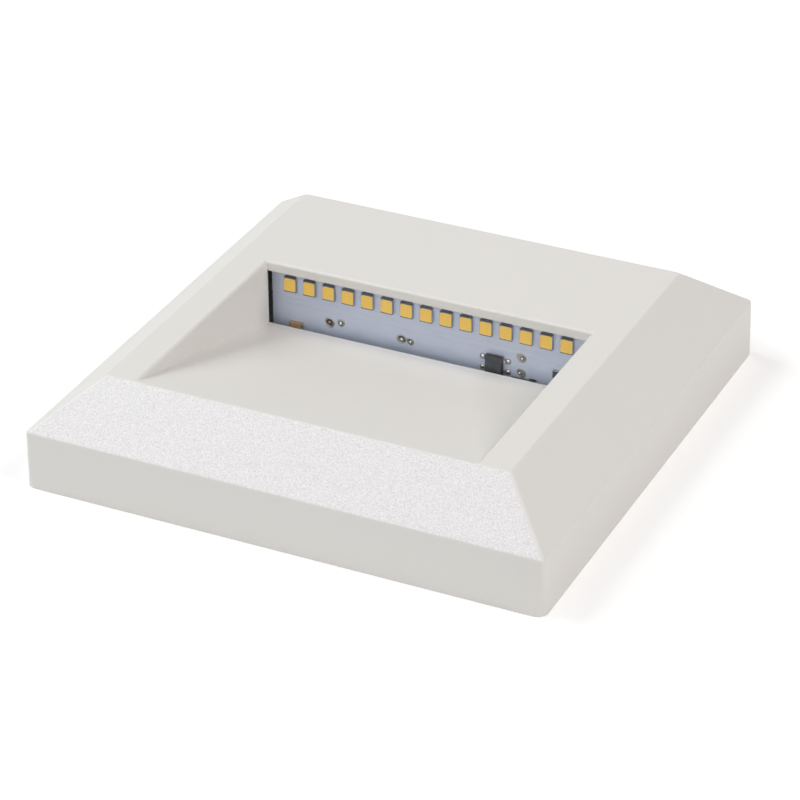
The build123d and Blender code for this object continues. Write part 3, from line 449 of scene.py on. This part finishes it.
def lead_insulation(name, colour, stripe=None):
    """Extruded PVC of a single-core lead."""
    # Smooth with a low sheen; the earth lead has two colours side by side.
    tree, shader, place = start_finish(name, colour, 0.38, ior=1.53)
    scuff = put(
        tree, "ShaderNodeTexNoise", {"Vector": place, "Scale": 1 / (1.5 * MM), "Detail": 3.0}
    ).outputs["Fac"]
    shade = shades(tree, scuff, tint(colour, 0.88), tint(colour, 1.08))
    if stripe:
        band = put(
            tree,
            "ShaderNodeTexWave",
            {"Vector": place, "Scale": 1 / (9.0 * MM), "Distortion": 0.6},
            bands_direction="DIAGONAL",
        ).outputs["Fac"]
        edge = put(tree, "ShaderNodeMath", {0: band, 1: 0.5}, operation="GREATER_THAN").outputs["Value"]
        shade = shades(tree, edge, colour, stripe)
    tree.links.new(shade, shader.inputs["Base Color"])
    relief(tree, shader, scuff, 0.01 * MM)


def finishes(scene):
    """Make every finish once, by its name."""
    if FINISHES:
        return FINISHES
    sizes, colours = scene.wall_light_sizes, scene.wall_light_colours
    powder_coat_white(sizes, colours)
    clear_polycarbonate()
    rubber("silicone_grey", linear("#8C8C8A"), 0.6)
    rubber("silicone_white", linear("#D8D8D3"), 0.55)
    rubber("rubber_black", linear("#262626"), 0.6)
    moulded_plastic("moulded_plastic_white", colours.cover)
    galvanised_steel(sizes)
    drawn_metal("spring_steel", linear("#BDBCB9"), 0.28, (0.25 * MM, 12 * MM, 0.25 * MM))
    drawn_metal("plated_steel", linear("#B6B8BA"), 0.3, (0.5 * MM, 0.5 * MM, 4 * MM))
    drawn_metal("mill_aluminium", linear("#C9CACC"), 0.36, (14 * MM, 0.3 * MM, 0.3 * MM))
    drawn_metal("brass", linear("#D2B26A"), 0.3, (0.4 * MM, 5 * MM, 0.4 * MM))
    solder_mask(colours)
    lamp_package_grey()
    phosphor_yellow(colours)
    solder()
    # Dark blue-grey: partly the dull metal of the lamps' terminals, partly painted shade under the lip.
    dulled_metal("dulled_tin", linear("#787E8B"), 0.42)
    dulled_metal("fluxed_solder", linear("#C2BEB0"), 0.55)
    dulled_metal("bare_copper", linear("#A98C6E"), 0.4)
    moulding_compound("chip_black", linear("#3E4046"))
    chip_ceramic_tan()
    varistor_blue()
    lead_insulation("lead_brown", linear("#5A3A26"))
    lead_insulation("lead_blue", linear("#2C5AA0"))
    lead_insulation("lead_green_yellow", linear("#2F8A3C"), linear("#E0C32E"))
    return FINISHES


def dress(materials, **nodes):
    """Give CAD nodes their finish, by the nodes' and the finishes' names."""
    for name, finish in nodes.items():
        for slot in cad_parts[name].material_slots:
            slot.material = materials[finish]


def solid_boxes(name):
    """Give the lowest and highest corner of each separate solid of a CAD node, from left to right."""
    mesh = bmesh.new()
    mesh.from_mesh(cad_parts[name].data)
    bmesh.ops.remove_doubles(mesh, verts=mesh.verts, dist=WELD)
    boxes = []
    left = set(mesh.verts)
    while left:
        todo = [left.pop()]
        corners = []
        while todo:
            vert = todo.pop()
            corners.append(vert.co.copy())
            near = [edge.other_vert(vert) for edge in vert.link_edges]
            todo += [other for other in near if other in left]
            left.difference_update(near)
        columns = list(zip(*corners))
        boxes.append((Vector([min(c) for c in columns]), Vector([max(c) for c in columns])))
    mesh.free()
    return sorted(boxes, key=lambda box: (round(box[0].x, 5), round(box[0].z, 5)))


def rounded_loop(width, height, radii, steps=5):
    """Give the points of a rectangle with rounded corners, as X and Z from its middle."""
    points = []
    corners = ((1, -1), (1, 1), (-1, 1), (-1, -1))
    for i, (side, level) in enumerate(corners):
        radius = radii[i] if isinstance(radii, (list, tuple)) else radii
        for step in range(steps + 1):
            turn = math.pi / 2 * (i - 1 + step / steps)
            points.append(
                (
                    side * (width / 2 - radius) + radius * math.cos(turn),
                    level * (height / 2 - radius) + radius * math.sin(turn),
                )
            )
    return points


def stack(mesh, middle, rings, finish=0):
    """Build a closed skin through rings, each a depth along Y and a loop of X and Z points about middle."""
    rows = [
        [mesh.verts.new((middle[0] + x, depth, middle[1] + z)) for x, z in loop] for depth, loop in rings
    ]
    faces = [mesh.faces.new(rows[0]), mesh.faces.new(rows[-1])]
    for row, following in zip(rows, rows[1:]):
        for i, corner in enumerate(row):
            j = (i + 1) % len(row)
            faces.append(mesh.faces.new((corner, row[j], following[j], following[i])))
    for face in faces:
        face.material_index = finish
    return faces


def prism(mesh, near, far):
    """Close the skin between two like outlines, each a list of corners."""
    rows = [[mesh.verts.new(corner) for corner in outline] for outline in (near, far)]
    mesh.faces.new(rows[0])
    mesh.faces.new(rows[1])
    for i in range(len(near)):
        j = (i + 1) % len(near)
        mesh.faces.new((rows[0][i], rows[0][j], rows[1][j], rows[1][i]))


def add_piece(name, mesh, finish_names, stands_for=()):
    """Turn a mesh into a piece of the light head, with its finishes and the nodes that it stands for."""
    bmesh.ops.recalc_face_normals(mesh, faces=mesh.faces)
    data = bpy.data.meshes.new(name)
    mesh.to_mesh(data)
    mesh.free()
    for finish in finish_names:
        data.materials.append(FINISHES[finish])
    data.shade_smooth()
    data.set_sharp_from_angle(angle=SHARP_EDGE)
    made = bpy.data.objects.new(name, data)
    bpy.context.scene.collection.objects.link(made)
    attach(made, HEAD)
    if stands_for:
        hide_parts(*stands_for)
    return made


def middle_of(low, high):
    """Give the middle of a box in X and Z."""
    return (low.x + high.x) / 2, (low.z + high.z) / 2


class WALLLIGHT_OT_front_housing(bpy.types.Operator):
    """Coat the die-cast front housing"""

    bl_idname = "wall_light.front_housing"
    bl_label = "Front housing"

    def execute(self, context):
        materials = finishes(context.scene)
        dress(materials, front_housing="powder_coat_white")
        return {"FINISHED"}


class WALLLIGHT_OT_light_window(bpy.types.Operator):
    """Clear the window and finish its seal"""

    bl_idname = "wall_light.light_window"
    bl_label = "Light window"

    def execute(self, context):
        materials = finishes(context.scene)
        dress(materials, light_window="clear_polycarbonate", window_seal="silicone_white")
        return {"FINISHED"}


class WALLLIGHT_OT_lamp_board(bpy.types.Operator):
    """Finish the lamp board and lay its tracks under the solder mask"""

    bl_idname = "wall_light.lamp_board"
    bl_label = "Lamp board"

    def execute(self, context):
        materials = finishes(context.scene)
        dress(materials, led_board="solder_mask_blue_grey")
        sizes = context.scene.wall_light_sizes
        lamps = solid_boxes("led_packages")
        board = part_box("led_board")[0].y
        depths = (board, board - sizes.track_relief)
        space, edge, corner = 0.25 * MM, 0.05 * MM, 0.25 * MM
        mesh = bmesh.new()
        # Between the lamps lie short wide tracks, a little lower than the lamps are tall.
        for (low, high), (following, _) in zip(lamps, lamps[1:]):
            width = following.x - high.x - 2 * space
            height = 0.8 * (high.z - low.z)
            middle = ((high.x + following.x) / 2, (low.z + high.z) / 2)
            loop = rounded_loop(width, height, corner)
            inner = rounded_loop(width - 2 * edge, height - 2 * edge, corner - edge)
            stack(mesh, middle, list(zip(depths, (loop, inner))))
        # Below the lamps run two long ones.
        left, right, bottom = lamps[0][0].x, lamps[-1][1].x, lamps[0][0].z
        width, height = right - left, sizes.track_width
        for drop in (1.5 * MM, 2.9 * MM):
            loop = rounded_loop(width, height, height / 3)
            inner = rounded_loop(width - 2 * edge, height - 2 * edge, height / 4)
            stack(mesh, ((left + right) / 2, bottom - drop), list(zip(depths, (loop, inner))))
        add_piece("board_tracks", mesh, ["solder_mask_blue_grey"])
        return {"FINISHED"}


# Radii of the corners of a lamp's cup: the large one marks the lamp's negative end.
CUP_CORNERS = (0.25 * MM, 0.25 * MM, 0.6 * MM, 0.25 * MM)


class WALLLIGHT_OT_lamps(bpy.types.Operator):
    """Mould the lamp packages, fill them with phosphor and tin their ends"""

    bl_idname = "wall_light.lamps"
    bl_label = "Lamps"

    def execute(self, context):
        finishes(context.scene)
        sizes = context.scene.wall_light_sizes
        self.packages(sizes)
        self.phosphors(sizes)
        self.terminals()
        return {"FINISHED"}

    def packages(self, sizes):
        """Mould each package as a drafted block with a cup in its face and a metal band at each end."""
        mesh = bmesh.new()
        draft, edge, cup, corner = 0.05 * MM, 0.06 * MM, 0.22 * MM, 0.1 * MM
        for low, high in solid_boxes("led_packages"):
            width, height = high.x - low.x, high.z - low.z
            cup_width, cup_height = width - 2 * sizes.cup_rim, height - 2 * sizes.cup_end
            rings = [
                (high.y, rounded_loop(width, height, corner)),
                (low.y + edge, rounded_loop(width - draft, height - draft, corner)),
                (low.y, rounded_loop(width - draft - edge, height - draft - edge, corner)),
                (low.y, rounded_loop(cup_width, cup_height, CUP_CORNERS)),
                (low.y + cup, rounded_loop(cup_width - cup, cup_height - cup, CUP_CORNERS)),
            ]
            # The bands at each end take the dark tin: metal terminals, darkened further as painted shade
            # from the lip.
            for face in stack(mesh, middle_of(low, high), rings):
                if abs(face.calc_center_median().z - (low.z + high.z) / 2) > cup_height / 2:
                    face.material_index = 1
        add_piece("led_package_cups", mesh, ["lamp_package_grey", "dulled_tin"], ["led_packages"])

    def phosphors(self, sizes):
        """Fill each cup with phosphor whose skin sinks towards its middle."""
        mesh = bmesh.new()
        shares = (1.0, 0.93, 0.8, 0.6, 0.3)
        foot, below_rim = 0.2 * MM, 0.01 * MM
        for low, high in solid_boxes("led_packages"):
            width, height = high.x - low.x - 2 * sizes.cup_rim, high.z - low.z - 2 * sizes.cup_end
            rings = [(low.y + foot, rounded_loop(width - foot, height - foot, CUP_CORNERS))]
            for share in shares:
                depth = low.y + below_rim + sizes.cup_depth * (1 - share**2)
                corners = [radius * share for radius in CUP_CORNERS]
                rings.append((depth, rounded_loop(width * share, height * share, corners)))
            stack(mesh, middle_of(low, high), rings)
        add_piece("led_phosphor_fills", mesh, ["phosphor_yellow"], ["led_phosphors"])

    def terminals(self):
        """Turn each terminal up the package's end, in a fillet of solder."""
        mesh = bmesh.new()
        middle_z = middle_of(*solid_boxes("led_packages")[0])[1]
        flat, steps, foot = 0.35, 5, 0.1
        for low, high in solid_boxes("led_terminals"):
            level = 1 if low.z > middle_z else -1
            inner, outer = (low.z, high.z) if level > 0 else (high.z, low.z)
            reach = outer - inner
            rise = high.y - low.y
            profile = [(high.y, inner), (low.y, inner), (low.y, inner + flat * reach)]
            for step in range(1, steps + 1):
                turn = math.pi / 2 * step / steps
                depth = high.y - rise * (1 - foot) * (1 - math.sin(turn))
                profile.append((depth, outer - (1 - flat) * reach * math.cos(turn)))
            profile.append((high.y, outer))
            prism(mesh, *([(x, y, z) for y, z in profile] for x in (low.x, high.x)))
        # The terminals take the same dark tin, partly painted shade.
        add_piece("led_terminal_ends", mesh, ["dulled_tin"], ["led_terminals"])


class WALLLIGHT_OT_rectifier(bpy.types.Operator):
    """Mould the bridge rectifier and bend its leads"""

    bl_idname = "wall_light.rectifier"
    bl_label = "Bridge rectifier"

    def execute(self, context):
        finishes(context.scene)
        low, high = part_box("rectifier_body")
        middle = middle_of(low, high)
        width, height, depth = high.x - low.x, high.z - low.z, high.y - low.y
        draft, edge, corner = 0.16 * MM, 0.12 * MM, 0.12 * MM
        parting = high.y - 0.28 * depth
        flash, step, dimple = 0.04 * MM, 0.06 * MM, 0.05 * MM
        mesh = bmesh.new()
        rings = [
            (high.y, rounded_loop(width - draft, height - draft, corner)),
            (parting, rounded_loop(width, height, corner)),
            (parting - flash, rounded_loop(width, height, corner)),
            (parting - flash, rounded_loop(width - step, height - step, corner)),
            (low.y + edge, rounded_loop(width - draft, height - draft, corner)),
            (low.y, rounded_loop(width - draft - edge, height - draft - edge, corner)),
            (low.y, rounded_loop(0.9 * MM, 0.9 * MM, 0.4 * MM)),
            (low.y + dimple, rounded_loop(0.6 * MM, 0.6 * MM, 0.28 * MM)),
        ]
        stack(mesh, middle, rings)
        add_piece("rectifier_moulding", mesh, ["chip_black"], ["rectifier_body"])
        self.leads(low, high)
        return {"FINISHED"}

    def leads(self, body_low, body_high):
        """Bend each lead down from the body to its foot and flow solder round the foot."""
        mesh = bmesh.new()
        boxes = solid_boxes("rectifier_leads")
        foot_low, foot_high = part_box("rectifier_leads")
        thickness, half_width, bend = 0.2 * MM, 0.35 * MM, 0.12 * MM
        solder_place = 0.62
        board = foot_high.y
        shoulder = body_high.y - 0.32 * (body_high.y - body_low.y)
        for level in sorted({round(middle_of(low, high)[1], 6) for low, high in boxes}):
            for edge, tip in ((body_low.x, foot_low.x), (body_high.x, foot_high.x)):
                reach = tip - edge
                line = [
                    (edge - 0.1 * reach, shoulder),
                    (edge + 0.22 * reach, shoulder),
                    (edge + 0.36 * reach, shoulder + bend),
                    (edge + 0.48 * reach, board - thickness - bend),
                    (edge + 0.6 * reach, board - thickness),
                    (tip, board - thickness),
                ]
                outline = line + [(x, y + thickness) for x, y in reversed(line)]
                sides = (level - half_width, level + half_width)
                prism(mesh, *([(x, y, z) for x, y in outline] for z in sides))
                self.foot_solder(mesh, edge + solder_place * reach, board, level)
        add_piece("rectifier_gull_leads", mesh, ["solder"], ["rectifier_leads"])

    def foot_solder(self, mesh, x, board, z):
        """Lay a low mound of solder over one foot."""
        width, height, corner, top = 1.4 * MM, 1.3 * MM, 0.6 * MM, 0.44 * MM
        shares = ((1.0, 0.0), (0.96, 0.4), (0.82, 0.72), (0.55, 0.93), (0.2, 1.0))
        rings = [
            (board - top * rise, rounded_loop(width * share, height * share, corner * share))
            for share, rise in shares
        ]
        stack(mesh, (x, z), rings)


def flow_joint(mesh, place, board, skirt, ball, shift, tip):
    """Flow a thin skirt that wets the pad and a ball, shifted along X, over the cut lead."""
    # Each ring is a radius, a height above the board and a share of the ball's shift.
    rings = [(skirt, 0.0, 0.0), (0.97 * skirt, 0.06 * MM, 0.0), (0.8 * skirt, 0.12 * MM, 0.3)]
    for step in range(8):
        turn = math.radians(-15 + 13 * step)
        rings.append((ball * math.cos(turn), tip - ball * (1 - math.sin(turn)), 1.0))
    steps = 28
    rows = []
    for radius, height, share in rings:
        loop = []
        for i in range(steps):
            turn = 2 * math.pi * i / steps
            # The skirt is never quite round: it runs out where the pad was hotter.
            run = 1 + (0.06 * math.cos(2 * turn + place[0] / MM) + 0.04 * math.sin(3 * turn)) * (1 - share)
            loop.append((radius * run * math.cos(turn) + shift * share, radius * run * math.sin(turn)))
        rows.append((board - height, loop))
    faces = stack(mesh, place, rows)
    for face in faces[2 : 2 + 3 * steps]:
        face.material_index = 1
    faces[0].material_index = 1
    return faces[1:2] + faces[2 + 3 * steps :]


# Each joint from left to right, the lower one first: its skirt's radius, its ball's radius, the ball's
# shift and how far the tip stands off the board.
JOINT_FORMS = (
    (1.15 * MM, 0.5 * MM, -0.1 * MM, 0.4 * MM),
    (0.9 * MM, 0.72 * MM, 0.0, 0.75 * MM),
    (1.1 * MM, 0.6 * MM, 0.1 * MM, 0.6 * MM),
    (0.85 * MM, 0.55 * MM, 0.1 * MM, 0.55 * MM),
    (1.05 * MM, 0.5 * MM, -0.3 * MM, 0.6 * MM),
    (1.1 * MM, 0.55 * MM, 0.3 * MM, 0.7 * MM),
)


class WALLLIGHT_OT_solder_joints(bpy.types.Operator):
    """Flow the solder joints over the ends of the leads"""

    bl_idname = "wall_light.solder_joints"
    bl_label = "Solder joints"

    def execute(self, context):
        finishes(context.scene)
        mesh = bmesh.new()
        joints = solid_boxes("solder_joints")
        for (low, high), (skirt, ball, shift, tip) in zip(joints, JOINT_FORMS, strict=True):
            tops = flow_joint(mesh, middle_of(low, high), high.y, skirt, ball, shift, tip)
            if low.x == joints[0][0].x:
                # The live lead's copper shows through its thin cap of solder.
                for face in tops:
                    face.material_index = 2
        add_piece("solder_cones", mesh, ["solder", "fluxed_solder", "bare_copper"], ["solder_joints"])
        return {"FINISHED"}


class WALLLIGHT_OT_small_chips(bpy.types.Operator):
    """Mould the driver chip and fire the chip resistors and the capacitor with their tinned ends"""

    bl_idname = "wall_light.small_chips"
    bl_label = "Small chips"

    def execute(self, context):
        finishes(context.scene)
        self.driver()
        self.end_capped("resistor_chips", "chip_resistors", "chip_black")
        self.end_capped("capacitor_chip", "chip_capacitor", "chip_ceramic_tan")
        return {"FINISHED"}

    def driver(self):
        """Mould the driver chip with a drafted body and a pin mark."""
        low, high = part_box("driver_chip")
        width, height = high.x - low.x, high.z - low.z
        draft, corner, edge, parting = 0.14 * MM, 0.1 * MM, 0.1 * MM, 0.45 * MM
        mark = (low.x + 0.7 * MM, high.z - 0.6 * MM)
        mesh = bmesh.new()
        rings = [
            (high.y - edge, rounded_loop(width - draft, height - draft, corner)),
            (high.y - parting, rounded_loop(width, height, corner)),
            (low.y + edge, rounded_loop(width - draft, height - draft, corner)),
            (low.y, rounded_loop(width - 2 * draft, height - 2 * draft, corner)),
        ]
        stack(mesh, middle_of(low, high), rings)
        dimple = [
            (low.y - 0.002 * MM, rounded_loop(0.44 * MM, 0.44 * MM, 0.21 * MM)),
            (low.y + 0.04 * MM, rounded_loop(0.36 * MM, 0.36 * MM, 0.17 * MM)),
        ]
        stack(mesh, mark, dimple)
        add_piece("driver_moulding", mesh, ["chip_black"], ["driver_chip"])

    def end_capped(self, name, node, body):
        """Build chips as a ceramic block between two tinned caps on their pads."""
        mesh = bmesh.new()
        cap, skin, corner, edge = 0.3 * MM, 0.03 * MM, 0.08 * MM, 0.06 * MM
        for low, high in solid_boxes(node):
            width, height = high.x - low.x, high.z - low.z
            long_x = width > height
            middle = Vector(middle_of(low, high))
            size = (width - 2 * cap, height) if long_x else (width, height - 2 * cap)
            loop = rounded_loop(*size, skin)
            stack(mesh, middle, [(high.y - skin, loop), (low.y + skin, loop)])
            outer = Vector((cap, height) if long_x else (width, cap))
            reach = Vector((width - cap, 0) if long_x else (0, height - cap)) / 2
            inner = outer - Vector((0.1, 0.1)) * MM
            rings = [
                (high.y, rounded_loop(*outer, corner)),
                (low.y + edge, rounded_loop(*outer, corner)),
                (low.y, rounded_loop(*inner, edge)),
            ]
            for side in (-1, 1):
                stack(mesh, middle + side * reach, rings, 1)
        add_piece(name, mesh, [body, "solder"], [node])


class WALLLIGHT_OT_board_support(bpy.types.Operator):
    """Finish what stands behind the lamp board"""

    bl_idname = "wall_light.board_support"
    bl_label = "Board support"

    def execute(self, context):
        materials = finishes(context.scene)
        dress(
            materials,
            led_solder_pads="solder",
            thermal_tape="silicone_grey",
            board_bracket="mill_aluminium",
            bracket_screws="plated_steel",
            varistor="varistor_blue",
        )
        return {"FINISHED"}


class WALLLIGHT_OT_back_cover(bpy.types.Operator):
    """Finish the back cover with its gasket, screws and cable entry"""

    bl_idname = "wall_light.back_cover"
    bl_label = "Back cover"

    def execute(self, context):
        materials = finishes(context.scene)
        dress(
            materials,
            back_cover="moulded_plastic_white",
            cover_gasket="silicone_grey",
            cover_screws="plated_steel",
            cable_grommet="rubber_black",
            cable_clamp="moulded_plastic_white",
            clamp_screws="plated_steel",
        )
        return {"FINISHED"}


class WALLLIGHT_OT_wiring(bpy.types.Operator):
    """Finish the terminal block, the leads and the earth connection"""

    bl_idname = "wall_light.wiring"
    bl_label = "Wiring"

    def execute(self, context):
        materials = finishes(context.scene)
        dress(
            materials,
            terminal_block="moulded_plastic_white",
            terminal_inserts="brass",
            terminal_screws="plated_steel",
            block_screws="plated_steel",
            wire_live="lead_brown",
            wire_neutral="lead_blue",
            wire_earth="lead_green_yellow",
            earth_lug="solder",
            earth_screw="plated_steel",
        )
        return {"FINISHED"}


class WALLLIGHT_OT_wall_mount(bpy.types.Operator):
    """Finish the wall plate, its spring clips and their rivets"""

    bl_idname = "wall_light.wall_mount"
    bl_label = "Wall mount"

    def execute(self, context):
        materials = finishes(context.scene)
        dress(
            materials,
            wall_plate="galvanised_steel",
            snap_clips="spring_steel",
            clip_rivets="plated_steel",
        )
        return {"FINISHED"}


WHITE = (1.0, 1.0, 1.0, 1.0)
FLOOR_DROP = 0.05 * MM
FLOOR_SIDE = 4.0
FLOOR_LIFT = 0.26
FRAME_PIXELS = 800
SENSOR = 36.0
FOCAL_PIXELS = 3324.56
EYE = Vector((254.231, -530.043, 347.219)) * MM
# How far the camera is tipped up from straight down, rolled and panned.
EYE_TURN = Euler([math.radians(angle) for angle in (59.709, 0.363, 25.429)])

# Each lamp of the studio: its name, its place from the light's middle, its side, its power and its colour.
STUDIO_LAMPS = (
    ("front_softbox", Vector((0.0, -1.04, 0.6)), 0.8, 2.8, "#FFFFFF"),
    ("front_left_softbox", Vector((-0.6, -0.6, 0.85)), 0.8, 2.1, "#FFFFFF"),
    ("right_softbox", Vector((0.85, 0.0, 0.85)), 0.8, 7.4, "#FFFAF8"),
    ("left_softbox", Vector((-0.85, 0.0, 0.85)), 0.8, 6.9, "#FCFFFF"),
)
SKY_STRENGTH = 0.12


class WALLLIGHT_OT_stage(bpy.types.Operator):
    """Lay the floor, hang the studio lamps and set the camera"""

    bl_idname = "wall_light.stage"
    bl_label = "Stage"

    def execute(self, context):
        self.floor()
        self.sky(context.scene)
        self.lamps()
        self.camera(context.scene)
        context.scene.view_settings.view_transform = "Standard"
        return {"FINISHED"}

    def floor(self):
        """Lay a pale floor that shows white to the camera and keeps the shadow."""
        material = bpy.data.materials.new("studio_floor")
        material.use_nodes = True
        tree = material.node_tree
        tree.nodes.clear()
        paper = put(tree, "ShaderNodeBsdfDiffuse", {"Color": (*linear("#F6F6F6"), 1.0)}).outputs["BSDF"]
        lift = put(
            tree, "ShaderNodeMath", {0: self.seen(tree), 1: FLOOR_LIFT}, operation="MULTIPLY"
        ).outputs["Value"]
        glow = put(tree, "ShaderNodeEmission", {"Color": WHITE, "Strength": lift}).outputs["Emission"]
        both = put(tree, "ShaderNodeAddShader", {0: paper, 1: glow}).outputs["Shader"]
        put(tree, "ShaderNodeOutputMaterial", {"Surface": both})
        mesh = bmesh.new()
        bmesh.ops.create_grid(mesh, x_segments=1, y_segments=1, size=FLOOR_SIDE / 2)
        data = bpy.data.meshes.new("studio_floor")
        mesh.to_mesh(data)
        mesh.free()
        data.materials.append(material)
        ground = bpy.data.objects.new("studio_floor", data)
        ground.location.z = -FLOOR_DROP
        bpy.context.scene.collection.objects.link(ground)

    def seen(self, tree):
        """Give 1 for what the camera sees straight on, in gloss or through glass, and 0 for other light."""
        rays = put(tree, "ShaderNodeLightPath").outputs
        found = rays["Is Camera Ray"]
        for name in ("Is Glossy Ray", "Is Transmission Ray"):
            found = put(
                tree, "ShaderNodeMath", {0: found, 1: rays[name]}, operation="MAXIMUM"
            ).outputs["Value"]
        return found

    def sky(self, scene):
        """Light the scene evenly, with white behind what the camera, gloss and glass see."""
        world = bpy.data.worlds.new("studio")
        world.use_nodes = True
        scene.world = world
        tree = world.node_tree
        tree.nodes.clear()
        even = put(
            tree, "ShaderNodeBackground", {"Color": WHITE, "Strength": SKY_STRENGTH}
        ).outputs["Background"]
        white = put(tree, "ShaderNodeBackground", {"Color": WHITE, "Strength": 1.0}).outputs["Background"]
        both = put(tree, "ShaderNodeMixShader", {0: self.seen(tree), 1: even, 2: white}).outputs["Shader"]
        put(tree, "ShaderNodeOutputWorld", {"Surface": both})

    def lamps(self):
        """Hang the square softboxes, each turned to the light."""
        for name, place, side, power, colour in STUDIO_LAMPS:
            data = bpy.data.lights.new(name, "AREA")
            data.shape = "SQUARE"
            data.size = side
            data.energy = power
            data.color = linear(colour)
            lamp = bpy.data.objects.new(name, data)
            lamp.location = place
            lamp.rotation_euler = (-place).to_track_quat("-Z", "Y").to_euler()
            bpy.context.scene.collection.objects.link(lamp)

    def camera(self, scene):
        """Set the camera where the photograph was taken from."""
        data = bpy.data.cameras.new("camera")
        data.sensor_width = SENSOR
        data.lens = FOCAL_PIXELS * SENSOR / FRAME_PIXELS
        data.clip_start, data.clip_end = 0.01, 20.0
        camera = bpy.data.objects.new("camera", data)
        camera.location = EYE
        camera.rotation_euler = EYE_TURN
        scene.collection.objects.link(camera)
        scene.camera = camera


STEPS = (
    WALLLIGHT_OT_front_housing,
    WALLLIGHT_OT_light_window,
    WALLLIGHT_OT_lamp_board,
    WALLLIGHT_OT_lamps,
    WALLLIGHT_OT_rectifier,
    WALLLIGHT_OT_solder_joints,
    WALLLIGHT_OT_small_chips,
    WALLLIGHT_OT_board_support,
    WALLLIGHT_OT_back_cover,
    WALLLIGHT_OT_wiring,
    WALLLIGHT_OT_wall_mount,
    WALLLIGHT_OT_stage,
)


class WALLLIGHT_PT_steps(bpy.types.Panel):
    """List the sizes, the colours and the steps that build the wall light"""

    bl_idname = "WALLLIGHT_PT_steps"
    bl_label = "Wall Light"
    bl_space_type = "VIEW_3D"
    bl_region_type = "UI"
    bl_category = "Wall Light"

    def draw(self, context):
        for group in (context.scene.wall_light_sizes, context.scene.wall_light_colours):
            for name in group.__annotations__:
                self.layout.prop(group, name)
        for step in STEPS:
            self.layout.operator(step.bl_idname)


def register():
    """Register the sizes, the colours, the steps and their panel."""
    for made in (WallLightSizes, WallLightColours, *STEPS, WALLLIGHT_PT_steps):
        bpy.utils.register_class(made)
    bpy.types.Scene.wall_light_sizes = PointerProperty(type=WallLightSizes)
    bpy.types.Scene.wall_light_colours = PointerProperty(type=WallLightColours)


def unregister():
    """Take everything that register added away again."""
    del bpy.types.Scene.wall_light_colours
    del bpy.types.Scene.wall_light_sizes
    for made in (WALLLIGHT_PT_steps, *reversed(STEPS), WallLightColours, WallLightSizes):
        bpy.utils.unregister_class(made)


def main():
    """Build the light step by step."""
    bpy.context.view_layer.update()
    register()
    for step in STEPS:
        area, name = step.bl_idname.split(".")
        getattr(getattr(bpy.ops, area), name)()


if __name__ == "__main__":
    main()
